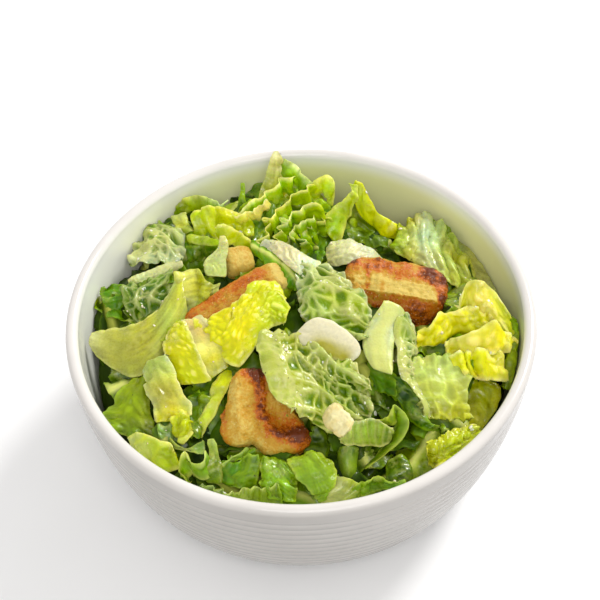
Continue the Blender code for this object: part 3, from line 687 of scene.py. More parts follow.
    ("right_mid", "heart", dict(tints=((226, 218, 40), (228, 220, 35), (224, 218, 50), (228, 222, 60)),
     ragged=1.3, frill=(1.2, 1.6, 0.8, 0.8), corner=9, margin=(240, 236, 140), margin_width=0.9),
     ((42, -8, 64, 41, -14, 61, 0.5), (46, -8, 66, 46, -13, 60, 1), (49, -5, 68, 51, -12, 60, 1.5),
     (54, -3, 69, 57, -10, 60, 1.5), (60, -2, 68, 64, -8, 60, 1.5), (65, -1, 67, 69, -7, 61, 1),
     (70, -3, 65, 72, -6, 61, 0))),
    ("right_band", "heart", dict(tints=((228, 218, 70), (238, 232, 125), (234, 228, 90), (226, 218, 50)),
     ragged=1, margin=(242, 238, 165), margin_width=1.4, corner=10, frill=(1, 1.2, 0.6, 0.6)),
     ((51, -14, 64, 51, -17, 60, 0.5), (55, -13, 66, 57, -17, 60, 1), (62, -11, 67, 63, -16, 60, 1.5),
     (69, -7, 66, 69, -16, 60, 1.5), (74, -9, 63, 74, -14, 58, 1), (78, -11, 60, 77, -12, 58, 0))),
    ("right_low", "heart", dict(shade=0.98, tints=((222, 220, 80), (228, 220, 60), (226, 218, 60),
     (236, 230, 110)), pleat=0.8, pleat_length=4, ragged=0.5, corner=12, blister=0.4, margin=(242, 238, 170),
     margin_width=1.2), ((50, -20, 63, 51, -20, 60, 0), (55, -18, 64, 58, -24, 59, 1),
     (60, -17, 64, 62, -27, 58, 1), (66, -16, 63, 67, -26, 57, 1), (71, -15, 61, 73, -26, 55, 0))),
    ("wall_green", "green", dict(tints=((160, 195, 60), (130, 175, 45), (100, 150, 35))),
     ((72, 6, 62, 73, 0, 58, 0.5), (76, 2, 60, 75, -7, 56, 1), (80, 0, 57, 77, -12, 54, 1),
     (80, -8, 54, 78, -16, 53, 0))),
    ("wall_olive", "green", dict(tints=((150, 180, 40), (135, 160, 25), (120, 145, 20)), blister=0.15),
     ((74, -8, 60, 80, -6, 60, 0.5), (73, -14, 58, 78, -15, 58, 1), (71, -21, 56, 76, -22, 56, 1),
     (70, -27, 53, 74, -28, 53, 0.5))),
    ("olive_slab", "pale", dict(tints=((170, 175, 55), (175, 180, 60)), blister=0.05, sway=0.3, thickness=1),
     ((59, -21, 53, 70, -24, 53, 0), (57, -29, 50, 69, -32, 50, 0), (56, -39, 47, 63, -41, 47, 0))),
    ("right_blister", "green", dict(tints=((198, 204, 108), (190, 198, 100), (182, 194, 90), (172, 186, 78)),
     blister=-0.85, cell=6.2, net=0.1, net_width=1.2, vein_rise=0, vein_width=0.01, pucker=0, crease=0.3,
     sway=0.7, ragged=1.2, dressing=0.1, frill=(0.6, 0.6, 1.2, 1), frill_length=5, corner=11,
     margin=(208, 214, 125), margin_width=1), ((38, -20, 64, 60, -18, 61, 0.5), (38, -28, 63, 59, -26, 59, 1),
     (41, -35, 60, 58, -35, 57, 1), (43, -42, 57, 59, -41, 54, 0.5))),
    ("cauliflower", "heart", dict(tints=((175, 190, 40), (165, 185, 40), (190, 205, 70)), blister=2.6,
     cell=3.3, net=0.1, frill=(1, 1.5, 1, 1), vein_rise=0, corner=5), ((41, -51, 58, 42, -58, 52, 2),
     (48, -49, 60, 47, -61, 52, 2.5), (55, -46, 59, 54, -58, 52, 2), (60, -44, 56, 59, -51, 52, 1))),
    ("low_pale", "pale", dict(tints=((175, 192, 110), (188, 200, 118), (196, 206, 125), (192, 205, 95)),
     blister=0.1, net=0.12, crease=1, crease_length=8, ragged=0.9, corner=9, frill=(1, 1.2, 0.4, 2), sway=1.2,
     lean=-0.1, margin=(215, 222, 165), margin_width=0.9), ((-58, -18, 61, -48, -15, 64, 0.5),
     (-56, -26, 61, -44, -25, 64, 1), (-53, -33, 59, -40, -33, 61, 1), (-52, -40, 57, -39, -39, 59, 0.5))),
    ("low_hem", "green", dict(shade=0.78, tints=((135, 175, 90), (120, 165, 65)), margin=(210, 220, 150),
     margin_width=1.2), ((-51, -38, 58, -51, -46, 54, 2), (-49, -41, 58, -47, -47, 54, 2),
     (-46, -39, 58, -45, -44, 55, 1))),
    ("low_crinkle", "lime", dict(tints=((158, 182, 70), (165, 186, 62), (150, 176, 52)), pleat=0.6,
     pleat_length=3, blister=0.8, cell=2.4, fine=0.7, frill=(1.2, 1.2, 0.8, 0.8), frill_length=4, ragged=1.2),
     ((-47, -40, 60, -43, -45, 57, 1), (-44, -37, 61, -42, -48, 57, 1.5), (-40, -38, 61, -39, -45, 58, 1))),
    ("low_green", "green", dict(shade=0.85, tints=((150, 172, 55), (148, 172, 50), (135, 160, 45),
     (110, 145, 38)), frill=(1.5, 1, 1, 1.5), crease=1.3, margin=(175, 195, 90), margin_width=1),
     ((-62, -19, 56, -55, -19, 57, 1), (-68, -27, 54, -54, -30, 55, 2), (-71, -33, 52, -52, -39, 53, 2),
     (-64, -41, 51, -52, -43, 52, 1))),
    ("low_lime", "lime", dict(shade=0.86, tints=((205, 218, 150), (192, 208, 118), (188, 208, 98),
     (168, 198, 72), (150, 185, 60)), frill=(0.8, 0.4, 0.4, 0.4), sway=1, blister=0.6, margin=(220, 228, 150),
     margin_width=0.9), ((-62, -45, 57, -61, -46, 52, 0.5), (-58, -44, 58, -56, -50, 52, 1.5),
     (-54, -45, 59, -52, -53, 52, 1.5), (-49, -49, 59, -48, -56, 52, 1.5),
     (-45, -52, 58, -43, -55, 53, 0.5))),
    ("low_loop", "green", dict(shade=0.85, tints=((110, 160, 50), (125, 170, 60)), margin=(215, 222, 140),
     margin_width=1.1), ((-40, -62, 55, -39, -62, 52, 0), (-44, -58, 58, -41, -59, 53, 1),
     (-41, -54, 61, -39, -57, 55, 1), (-37, -57, 58, -35, -60, 53, 0), (-35, -53, 60, -33, -57, 54, 0))),
    ("upright", "pale", dict(shade=0.9, tints=((185, 202, 120), (150, 180, 85), (115, 150, 55),
     (90, 125, 35)), ragged=0.4, frill=(0.4, 0.6, 0, 0)), ((-33, -51, 63, -31, -51, 63, 0),
     (-33, -54, 60, -29, -55, 60, 1), (-34, -58, 57, -28, -59, 57, 1), (-35, -62, 53, -29, -63, 53, 0.5))),
    ("low_arc", "green", dict(shade=0.88, tints=((140, 175, 90), (125, 165, 70), (100, 145, 45)),
     margin=(190, 212, 140), margin_width=1, frill=(0.3, 0.3, 0.2, 0.2), corner=9),
     ((-29, -59, 60, -28, -60, 58, 0.5), (-25, -58, 61, -25, -59, 58, 0.5), (-23, -56, 61, -21, -57, 58, 0.5),
     (-20, -52, 60, -19, -54, 58, 0.5))),
    ("ridge", "green", dict(tints=((75, 125, 30), (90, 140, 40))), ((-29, -56, 58, -29, -63, 53, 1),
     (-23, -58, 59, -23, -63, 54, 1), (-18, -53, 60, -20, -57, 56, 0))),
    ("low_band", "pale", dict(tints=((150, 175, 100), (135, 165, 85))), ((-47, -46, 57, -45, -51, 56, -1),
     (-41, -49, 56, -40, -53, 56, -1), (-35, -47, 58, -35, -53, 57, -1))),
    ("front_fold", "green", dict(tints=((105, 145, 45), (98, 138, 38), (110, 150, 45)), shade=0.85, net=1,
     cell=2.8, net_width=0.5, blister=0.45, vein_gap=4, vein_rise=0.35, fine=0.75, frill=(0.8, 0.8, 0.6, 0.5),
     crease=1.1, margin=(160, 190, 90), margin_width=0.8), ((-22, -56, 59, -29, -64, 53, 0.5),
     (-19, -56, 61, -23, -66, 54, 1), (-15, -57, 61, -17, -67, 54, 1))),
    ("front_wrinkled", "green", dict(tints=((125, 172, 55), (135, 182, 62), (118, 165, 50)), shade=0.78,
     net=1, cell=2.6, net_width=0.5, blister=0.4, vein_gap=3, vein_width=0.45, vein_rise=0.4, vein_turn=35,
     fine=0.75, frill=(0.8, 1.2, 0.6, 0.5), frill_length=6, margin=(190, 212, 110), margin_width=0.7),
     ((-16, -57, 61, -5, -61, 61, 0.5), (-16, -62, 59, -3, -65, 59, 1), (-16, -66, 57, -3, -69, 57, 1),
     (-15, -69, 54, -3, -72, 54, 1))),
    ("front_lip", "green", dict(shade=0.7, tints=((140, 180, 75), (165, 195, 100), (150, 188, 80),
     (120, 165, 50)), margin=(215, 226, 160), margin_width=0.9, frill=(1.6, 0.5, 0.5, 0.5), frill_length=4.5,
     net=0.7, cell=2.6, net_width=0.5, blister=0.15, corner=9), ((-38, -64, 54, -37, -65, 52, 0.5),
     (-32, -67, 56, -32, -68, 52, 0.5), (-26, -69, 57, -26, -70, 52, 0.5), (-20, -68, 58, -20, -71, 52, 0.5),
     (-14, -68, 58, -14, -71, 52, 0.5), (-9, -67, 59, -8, -71, 52, 0.5))),
    ("front_lime", "green", dict(shade=0.8, tints=((160, 195, 85), (150, 188, 75), (138, 178, 62)), net=1,
     cell=2.6, net_width=0.5, blister=0.45, vein_gap=2.8, vein_width=0.45, vein_rise=0.4, vein_turn=25,
     fine=0.75, frill=(1, 0.8, 0.6, 0.5), frill_length=5, corner=7, crease=0.9, margin=(205, 220, 120),
     margin_width=0.7), ((-7, -59, 60, 4, -56, 62, 0.5), (-5, -63, 60, 8, -60, 62, 1),
     (-2, -67, 58, 10, -64, 60, 1), (2, -69, 55, 9, -68, 57, 1), (4, -71, 52, 6, -70, 53, 0.5))),
    ("front_rib", "pale", dict(shade=0.92, tints=((200, 208, 145), (192, 202, 130), (175, 192, 95),
     (150, 180, 70)), thickness=0.8, crease=0.3, blister=0.1), ((8, -63, 58, 4, -72, 52, 0.5),
     (12, -65, 58, 9, -72, 52, 1), (16, -66, 57, 14, -72, 52, 1), (20, -68, 56, 19, -70, 52, 0.5))),
    ("front_frill", "green", dict(shade=0.85, tints=((125, 168, 55), (105, 155, 42), (115, 160, 48)),
     frill=(2, 1, 1, 1), frill_length=5, margin=(190, 210, 110), margin_width=0.9),
     ((15, -69, 58, 15, -71, 52, 0.5), (20, -68, 60, 19, -71, 53, 1), (24, -67, 60, 24, -70, 53, 1),
     (28, -68, 59, 28, -69, 54, 1), (33, -66, 57, 34, -67, 54, 0.5))),
    ("ribbed", "pale", dict(tints=((180, 195, 120), (150, 172, 88), (132, 158, 70), (100, 135, 42)),
     vein_rise=0.4, vein_gap=2.1, vein_width=0.5, vein_turn=85, net=0.1, fine=0.6, frill=(1.2, 0.5, 0.3, 0.3),
     frill_length=5, thickness=0.7, crease=0.3, pucker=0, margin=(215, 222, 160), margin_width=0.7),
     ((12, -52, 65, 12, -54, 61, 0.5), (16, -50, 67, 16, -55, 61, 0.5), (21, -48, 67, 21, -55, 60, 0.5),
     (26, -48, 66, 25, -55, 60, 0.5), (30, -50, 64, 29, -53, 60, 0.5))),
    ("curled", "green", dict(shade=0.8, tints=((175, 200, 110), (130, 170, 60), (125, 165, 50),
     (100, 145, 40), (75, 120, 30)), margin=(200, 215, 120), margin_width=1, blister=0.2,
     frill=(0.8, 1, 0.5, 0.5), corner=7), ((23, -46, 65, 25, -46, 61, 0.5), (28, -47, 66, 29, -48, 62, 0.5),
     (31, -43, 67, 32, -46, 63, 0.5), (35, -48, 66, 31, -49, 60, 1), (33, -54, 63, 28, -53, 57, 1),
     (27, -57, 58, 23, -56, 54, 1), (20, -60, 54, 19, -58, 53, 0))),
    ("rolled", "green", dict(shade=0.85, tints=((70, 108, 32), (110, 145, 70), (78, 115, 35)), blister=0.05,
     corner=7, crease=0.1, frill=(0, 0, 0, 0), dressing=0.4), ((11, -53, 58, 18, -53, 58, 3),
     (11, -57, 56, 17, -57, 56, 3), (12, -61, 53, 16, -61, 53, 2.5), (13, -63, 51, 15, -64, 51, 1))),
    # shadow_blade and gap_blade: near-black green tints, painted shade filling the gaps between leaves
    ("shadow_blade", "green", dict(shade=0.78, tints=((60, 90, 20), (55, 85, 15))),
     ((1, -48, 60, 5, -45, 60, 1), (0, -51, 57, 8, -50, 58, 1), (-1, -54, 55, 8, -55, 55, 1))),
    ("gap_blade", "green", dict(shade=0.78, tints=((60, 95, 25), (50, 85, 20))),
     ((28, -55, 51, 34, -53, 53, 1), (28, -60, 50, 36, -58, 52, 1), (28, -65, 49, 37, -62, 50, 1))),
)

# x, y, radius: where the wall shows and no leaf is strewn
BARE_WALL = ((52, 54, 25), (20, 76, 15), (-40, 72, 12), (-76, -13, 17))


def loose_leaves(count, low, high, seed, greens):
    """Rows of torn leaves strewn by chance over the heap, between two depths under its top: each a strip that
    arches over its own middle and is tilted and rolled by chance."""
    draw = np.random.default_rng(seed)
    made = []
    while len(made) < count:
        radius = (RIM_RADIUS - LIP_THICKNESS - 8) * math.sqrt(draw.uniform(0.0, 1))
        place = draw.uniform(0, math.tau)
        x, y = radius * math.cos(place), radius * math.sin(place)
        z = heap_top(x, y) - draw.uniform(low, high)
        z = min(z, 62 - 14 * float(smooth(45, 72, radius)))  # lower than the rim beside the wall
        if any(math.hypot(x - bare_x, y - bare_y) < bare for bare_x, bare_y, bare in BARE_WALL):
            continue
        length, width = draw.uniform(20, 34), draw.uniform(13, 22)
        turn, tilt, roll = draw.uniform(0, math.tau), draw.normal(0, 0.3), draw.normal(0, 0.45)
        ahead = np.array([math.cos(turn) * math.cos(tilt), math.sin(turn) * math.cos(tilt), math.sin(tilt)])
        across = np.array([-math.sin(turn) * math.cos(roll), math.cos(turn) * math.cos(roll), math.sin(roll)])
        arch, camber = draw.uniform(0, 4), draw.uniform(0.5, 3)
        rows = []
        for share in (-1, -0.35, 0.35, 1):
            middle = np.array([x, y, z + arch * (1 - share**2)]) + ahead * length / 2 * share
            half = across * width / 2 * (1 - 0.25 * share**2) * draw.uniform(0.85, 1.1)
            rows.append((*(middle - half), *(middle + half), camber))
        tint = np.array(greens[draw.integers(len(greens))]) * draw.uniform(0.85, 1.1)
        rib = None
        if draw.random() < 0.5:
            rib = (draw.uniform(-0.3, 0.3), draw.uniform(-0.3, 0.3), draw.uniform(0.6, 1.6))
        made.append((rows, dict(tints=(tuple(tint),), rib=rib, sway=1.6, frill=(1.5, 1.5, 1, 1), ragged=1.2)))
    return made


# ---------------------------------------------------------------- materials


def node(tree, kind, inputs=None, **settings):
    """A shader node with its settings, whose inputs are linked from sockets or set to values."""
    made = tree.nodes.new("ShaderNode" + kind)
    for name, value in settings.items():
        setattr(made, name, value)
    for key, value in (inputs or {}).items():
        if isinstance(value, bpy.types.NodeSocket):
            tree.links.new(value, made.inputs[key])
        else:
            made.inputs[key].default_value = value
    return made


def feed(tree, target, **sockets):
    """Links these sockets to a node's inputs, which are named with _ for a space."""
    for key, socket in sockets.items():
        tree.links.new(socket, target.inputs[key.replace("_", " ")])


def mix(tree, factor, first, second, blend="MIX"):
    """The first colour, turning into the second as the factor rises."""
    return node(tree, "Mix", {0: factor, 6: first, 7: second}, data_type="RGBA", blend_type=blend).outputs[2]


def maths(tree, operation, first, second=0.0):
    return node(tree, "Math", {0: first, 1: second}, operation=operation).outputs[0]


def ranged(tree, value, low, high, new_low=0.0, new_high=1.0):
    """A smoothstep of the value, from its new low to its new high."""
    inputs = {"Value": value, "From Min": low, "From Max": high, "To Min": new_low, "To Max": new_high}
    return node(tree, "MapRange", inputs, interpolation_type="SMOOTHSTEP").outputs[0]


def object_noise(tree, coordinates, millimetres, detail=2.0, roughness=0.5):
    """Noise whose blobs are about so many millimetres across."""
    scale = 1 / (millimetres * MM)
    inputs = {"Vector": coordinates, "Scale": scale, "Detail": detail, "Roughness": roughness}
    return node(tree, "TexNoise", inputs).outputs["Fac"]


def rgba(*steps):
    return (*srgb(*steps), 1.0)


def new_group(name, inputs, outputs):
    """A node group with named sockets, given as name: (socket type, default)."""
    tree = bpy.data.node_groups.new(name, "ShaderNodeTree")
    for socket, (kind, default) in inputs.items():
        made = tree.interface.new_socket(socket, in_out="INPUT", socket_type="NodeSocket" + kind)
        if default is not None:
            made.default_value = default
    for socket, kind in outputs.items():
        tree.interface.new_socket(socket, in_out="OUTPUT", socket_type="NodeSocket" + kind)
    return tree, tree.nodes.new("NodeGroupInput"), tree.nodes.new("NodeGroupOutput")


def group_node(tree, name, **inputs):
    """A node of this group, whose inputs are named with _ for a space."""
    inputs = {key.replace("_", " "): value for key, value in inputs.items()}
    return node(tree, "Group", inputs, node_tree=bpy.data.node_groups[name])


def build_leaf_group():
    """Leaf flesh: the leaf's tint, which holds painted shade for leaves in shadow; paler along the midrib,
    veins and cut edges; darker in the hollows, partly its deeper green and partly painted shade; paler
    cream on the blisters' crests as painted highlight; with fine pores, filmed over in patches by dressing,
    which is also smoother."""
    inputs = {
        "Coordinates": ("Vector", None), "Tint": ("Color", None), "Marks": ("Color", None),
        "Relief": ("Color", None),
        "Rib Colour": ("Color", rgba(215, 222, 135)), "Vein Colour": ("Color", rgba(205, 218, 75)),
        "Dressing Colour": ("Color", rgba(224, 226, 140)), "Dressing Amount": ("Float", 0.3),
        "Vein Amount": ("Float", 0.5), "Hollow Amount": ("Float", 0.3), "Crest Amount": ("Float", 0.2),
        "Pit Colour": ("Color", rgba(95, 145, 30)), "Pit Amount": ("Float", 0.0),
        "Saturation": ("Float", 1.12), "Hue": ("Float", 0.49), "Value": ("Float", 1.0),
        "Roughness": ("Float", 0.35),
    }
    tree, given, out = new_group("Leaf Flesh", inputs, {
        "Colour": "Color", "Roughness": "Float", "Height": "Float", "Wet": "Float"})
    get = given.outputs
    marks = node(tree, "SeparateColor", {0: get["Marks"]}).outputs
    relief = node(tree, "SeparateColor", {0: get["Relief"]}).outputs
    pores = object_noise(tree, get["Coordinates"], 0.9, 3)
    patches = object_noise(tree, get["Coordinates"], 5, 2)
    shade = ranged(tree, patches, 0.3, 0.7, 0.91, 1.07)
    fine = ranged(tree, pores, 0.3, 0.7, 0.95, 1.04)
    tone = maths(tree, "MULTIPLY", shade, fine)
    # darker in the hollows: partly the leaf's deeper green, partly painted shade
    dark = maths(tree, "SUBTRACT", 1.0, maths(tree, "MULTIPLY", relief[1], get["Hollow Amount"]))
    tone = maths(tree, "MULTIPLY", tone, dark)
    spread = node(tree, "CombineColor", {0: tone, 1: tone, 2: tone}).outputs[0]
    colour = mix(tree, 1.0, get["Tint"], spread, "MULTIPLY")
    pits = maths(tree, "MULTIPLY", ranged(tree, relief[1], 0.18, 0.75), get["Pit Amount"])
    colour = mix(tree, pits, colour, get["Pit Colour"])
    # painted highlight on the blisters' crests
    colour = mix(tree, maths(tree, "MULTIPLY", relief[2], get["Crest Amount"]), colour, get["Vein Colour"])
    colour = mix(tree, maths(tree, "MULTIPLY", marks[1], get["Vein Amount"]), colour, get["Vein Colour"])
    colour = mix(tree, maths(tree, "MULTIPLY", relief[0], 0.28), colour, get["Vein Colour"])
    colour = mix(tree, maths(tree, "MULTIPLY", marks[0], 0.8), colour, get["Rib Colour"])
    broken = ranged(tree, object_noise(tree, get["Coordinates"], 2.2, 2), 0.35, 0.6)
    film = maths(tree, "MULTIPLY", maths(tree, "MULTIPLY", marks[2], broken), get["Dressing Amount"])
    colour = mix(tree, film, colour, get["Dressing Colour"])
    shift = {key: get[key] for key in ("Hue", "Saturation", "Value")}
    colour = node(tree, "HueSaturation", {**shift, "Color": colour}).outputs[0]
    rough_value = maths(tree, "ADD", get["Roughness"], ranged(tree, pores, 0.3, 0.7, -0.06, 0.1))
    rough_value = maths(tree, "SUBTRACT", rough_value, maths(tree, "MULTIPLY", marks[2], 0.15))
    height = maths(tree, "ADD", maths(tree, "MULTIPLY", pores, 0.5), maths(tree, "MULTIPLY", film, 0.8))
    wet = maths(tree, "MULTIPLY", marks[2], 0.5)
    feed(tree, out, Colour=colour, Roughness=rough_value, Height=height, Wet=wet)


def build_toast_group():
    """Baked bread: cream crumb through gold to dark crust by the amount of toasting, broken up by the crumb's
    grain and sprinkled with fine pale specks."""
    inputs = {
        "Coordinates": ("Vector", None), "Toast": ("Float", 0.4), "Crumb": ("Color", rgba(206, 179, 86)),
        "Gold": ("Color", rgba(190, 142, 34)), "Brown": ("Color", rgba(188, 98, 14)),
        "Dark": ("Color", rgba(102, 44, 12)), "Specks": ("Float", 0.3),
    }
    tree, given, out = new_group("Toasting", inputs, {
        "Colour": "Color", "Roughness": "Float", "Height": "Float"})
    get = given.outputs
    grain = object_noise(tree, get["Coordinates"], 0.8, 4, 0.6)
    patches = object_noise(tree, get["Coordinates"], 3.5, 3)
    toast = maths(tree, "ADD", get["Toast"], ranged(tree, patches, 0.25, 0.75, -0.11, 0.11))
    toast = maths(tree, "ADD", toast, ranged(tree, grain, 0.3, 0.7, -0.1, 0.1))
    colour = mix(tree, ranged(tree, toast, 0.1, 0.4), get["Crumb"], get["Gold"])
    colour = mix(tree, ranged(tree, toast, 0.4, 0.68), colour, get["Brown"])
    colour = mix(tree, ranged(tree, toast, 0.65, 0.95), colour, get["Dark"])
    dots = node(tree, "TexVoronoi", {"Vector": get["Coordinates"], "Scale": 1 / (1.3 * MM)})
    dots = dots.outputs["Distance"]
    specks = maths(tree, "MULTIPLY", ranged(tree, dots, 0.1, 0.22, 1.0, 0.0), get["Specks"])
    colour = mix(tree, specks, colour, rgba(240, 222, 185))
    rough_value = ranged(tree, toast, 0.3, 0.8, 0.5, 0.22)
    height = maths(tree, "ADD", grain, maths(tree, "MULTIPLY", specks, 0.6))
    feed(tree, out, Colour=colour, Roughness=rough_value, Height=height)


def material(name, roughness, subsurface=0.0, radius=(0.6, 0.9, 0.1), scale=MM, specular=0.28, coat=0.0):
    """A new material with its one shader, and the tree, shader and Object coordinates to build on."""
    made = bpy.data.materials.new(name)
    made.use_nodes = True
    tree = made.node_tree
    shader = tree.nodes["Principled BSDF"]
    values = {
        "Subsurface Weight": subsurface, "Subsurface Radius": radius, "Subsurface Scale": scale,
        "Roughness": roughness, "Specular IOR Level": specular, "Coat Weight": coat, "Coat Roughness": 0.12,
    }
    for key, value in values.items():
        shader.inputs[key].default_value = value
    return made, tree, shader, node(tree, "TexCoord").outputs["Object"]


def bump(tree, shader, height, strength, distance):
    """Fine relief in the shading, so many millimetres deep."""
    made = node(tree, "Bump", {"Strength": strength, "Distance": distance * MM, "Height": height})
    feed(tree, shader, Normal=made.outputs[0])


def attribute(tree, name, socket="Color"):
    """A value that the surface holds at each of its points."""
    return node(tree, "Attribute", attribute_name=name).outputs[socket]


def leaf_material(name, roughness, subsurface, bump_strength=0.5, specular=0.28, **amounts):
    """A leaf's finish: its flesh, how much light it lets through, and a wet coat where the dressing lies."""
    _, tree, shader, place = material(name, roughness, subsurface, specular=specular)
    flesh = group_node(
        tree, "Leaf Flesh", Coordinates=place, Tint=attribute(tree, "tint"), Marks=attribute(tree, "marks"),
        Relief=attribute(tree, "relief"), Roughness=roughness, **amounts,
    )
    made = flesh.outputs
    feed(tree, shader, Base_Color=made["Colour"], Roughness=made["Roughness"], Coat_Weight=made["Wet"])
    bump(tree, shader, made["Height"], bump_strength, 0.35)


def toast_material(name, specks):
    """Toasted bread, darker where its surface says so."""
    made, tree, shader, place = material(
        name, roughness=0.5, subsurface=0.12, radius=(1.0, 0.6, 0.25), scale=2 * MM
    )
    toast = attribute(tree, "toast", "Fac")
    bread = group_node(tree, "Toasting", Coordinates=place, Toast=toast, Specks=specks)
    feed(tree, shader, Base_Color=bread.outputs["Colour"], Roughness=bread.outputs["Roughness"])
    bump(tree, shader, bread.outputs["Height"], strength=0.7, distance=0.5)
    return made


def glaze_material():
    """White glazed stoneware: a faint uneven tone, a darker grey outside as painted shade, an olive tint on
    the inner wall as painted reflection of the leaves' green light, and a slight ripple and orange peel in
    the gloss.
    """
    made, tree, shader, place = material("Bowl Glaze", roughness=0.16, coat=0.3)
    tone = object_noise(tree, place, 30, 3)
    # painted shade: the outside a darker grey than the inside, though the glaze is one white
    outer = mix(tree, ranged(tree, tone, 0.3, 0.7), rgba(209, 204, 198), rgba(217, 212, 206))
    # painted reflection: olive on the inner wall below the lip, where the overlay says, for the leaves' green
    # light
    inside_colour = mix(tree, attribute(tree, "film", "Fac"), rgba(251, 251, 246), rgba(240, 238, 178))
    colour = mix(tree, attribute(tree, "inner", "Fac"), outer, inside_colour)
    peel = object_noise(tree, place, 2.4, 2)
    feed(tree, shader, Base_Color=colour, Roughness=ranged(tree, peel, 0.3, 0.7, 0.13, 0.24))
    bump(tree, shader, peel, strength=0.12, distance=0.1)
    return made


def cheese_material(name, subsurface):
    """Hard cheese: the tint its surface holds, which on the shaving carries painted shade and a painted
    highlight, with a faint grain and crystals.
    """
    made, tree, shader, place = material(name, 0.38, subsurface, radius=(1.0, 0.8, 0.4), scale=3 * MM)
    grain = object_noise(tree, place, 1.1, 4)
    tone = ranged(tree, grain, 0.3, 0.7, 0.93, 1.05)
    spread = node(tree, "CombineColor", {0: tone, 1: tone, 2: tone}).outputs[0]
    colour = mix(tree, 1.0, attribute(tree, "tint"), spread, "MULTIPLY")
    feed(tree, shader, Base_Color=colour, Roughness=ranged(tree, grain, 0.3, 0.7, 0.3, 0.48))
    bump(tree, shader, grain, strength=0.25, distance=0.3)
    return made


def plain_material(name, first, second, millimetres, roughness, subsurface=0.0, bump_strength=0.2):
    """Two tones of one stuff, blended by noise of this size."""
    made, tree, shader, place = material(
        name, roughness, subsurface, radius=(1.0, 0.9, 0.6), scale=1.5 * MM
    )
    grain = object_noise(tree, place, millimetres, 3)
    colour = mix(tree, ranged(tree, grain, 0.3, 0.7), rgba(*first), rgba(*second))
    feed(tree, shader, Base_Color=colour)
    bump(tree, shader, grain, bump_strength, 0.2)
    return made


# ---------------------------------------------------------------- bread and cheese


def superellipsoid(halves, roundness, cuts):
    """A cube's grids drawn in to |x|^p + |y|^p + |z|^p = 1 and stretched to the half sizes."""
    cube, faces = cube_sphere(cuts)
    length = (np.abs(cube) ** roundness).sum(axis=1) ** (1 / roundness)
    return cube / length[:, None] * np.array(halves), faces


def mound(points, centre, radius):
    """A round hill of height 1 over the plane of x and y."""
    return np.exp(-((points[:, 0] - centre[0]) ** 2 + (points[:, 1] - centre[1]) ** 2) / radius**2)


def share_along(values, half):
    """Places from -half to half as shares from 0 to 1."""
    return np.clip(values / (2 * half) + 0.5, 0, 1)


def from_path(points, path):
    """Distance in the plane of x and y from each point to the nearest stretch of a path."""
    path = np.asarray(path, float)
    nearest = np.full(len(points), np.inf)
    for start, end in zip(path[:-1], path[1:]):
        along = end - start
        share = np.clip((points[:, :2] - start) @ along / (along @ along), 0, 1)
        nearest = np.minimum(nearest, np.linalg.norm(points[:, :2] - start - share[:, None] * along, axis=1))
    return nearest


def torn_bread(points):
    """Narrow at the back, two pillows split by a notch at the front, and a hollow in the right one."""
    out = points.copy()
    back = share_along(points[:, 1], np.abs(points[:, 1]).max())
    front = 1 - back
    out[:, 0] = points[:, 0] * (1.02 - 0.6 * back) - 2.5 * back
    left = 1 / (1 + np.exp((out[:, 0] + 5) / 1.5))
    out[:, 1] += 4.5 * left * front
    upper = points[:, 2] > 0
    out[:, 2] += upper * (2.6 * np.exp(-(((out[:, 0] + 8.5) / 4.2) ** 2)) - 1)
    out[:, 2] -= upper * 3.4 * mound(out, (6.5, -3.5), 5)
    out[:, 2] += upper * 1.1 * np.exp(-((from_path(out, FRONT_RIDGE) / 1.6) ** 2))
    out[:, 1] += 3 * np.exp(-(((out[:, 0] + 4.5) / 2.5) ** 2)) * front**2
    return out


FRONT_RIDGE = ((-2, 16), (-1, 9), (-0.5, 5), (-1.2, 0), (0.5, -4.5), (2.5, -8.4), (6.5, -9.6), (12.5, -9.4))


def baguette_end(points):
    """A thick slice with a raised rounded crust round its back, narrower at the front."""
    out = points.copy()
    behind = np.maximum(points[:, 1], 0) / 12
    rim = np.clip(np.hypot(points[:, 0] / 19, behind), 0, 1)
    out[:, 2] += (points[:, 2] > 0) * 2 * rim**3
    out[:, 2] -= (points[:, 2] > 0) * 1.7 * np.clip(-5.5 - points[:, 1], 0, 6)
    out[:, 0] *= 1 - 0.12 * np.clip(-points[:, 1] / 12, 0, 1)
    return out


def long_crust(points):
    """A long finger that thins towards its left end."""
    out = points.copy()
    right = share_along(points[:, 0], 20)
    out[:, 1] *= 0.6 + 0.4 * right
    out[:, 2] *= 0.7 + 0.3 * right
    return out


def heel(points):
    """A small corner of a slice: lower towards its right, its top edge rounded off."""
    out = points.copy()
    out[:, 2] -= (points[:, 2] > 0) * (0.18 * np.clip(points[:, 0] + 2, 0, 8) + 0.03 * points[:, 1] ** 2)
    return out


SLICE_OUTLINE = (
    (-11.2, -0.6), (-9.2, 3.2), (-6.6, 6.6), (-4.2, 8.2), (-1.5, 8.2), (4, 6.4), (8.5, 4.3), (12, 1.6),
    (13.2, -1.6), (10.5, -4.8), (4.5, -7.2), (-1.5, -6.2), (-7, -3.6),
)


def shaved(points):
    """A flat round carried out to the slice's outline: each point's distance from the middle, from 0 to 1,
    times the outline's own distance in that direction."""
    outline = np.array(SLICE_OUTLINE)
    corner_angle, corner_reach = np.arctan2(outline[:, 1], outline[:, 0]), np.hypot(*outline.T)
    share = (np.abs(points[:, 0]) ** 3 + np.abs(points[:, 1]) ** 3) ** (1 / 3)
    angle = np.arctan2(points[:, 1], points[:, 0])
    spread = np.array([-0.1, 0, 0.1])  # softens the corners
    reach = np.interp(angle[:, None] + spread, corner_angle, corner_reach, period=math.tau).mean(axis=1)
    out = points.copy()
    out[:, 0], out[:, 1] = share * reach * np.cos(angle), share * reach * np.sin(angle)
    out[:, 2] -= 0.5 * share**2
    return out


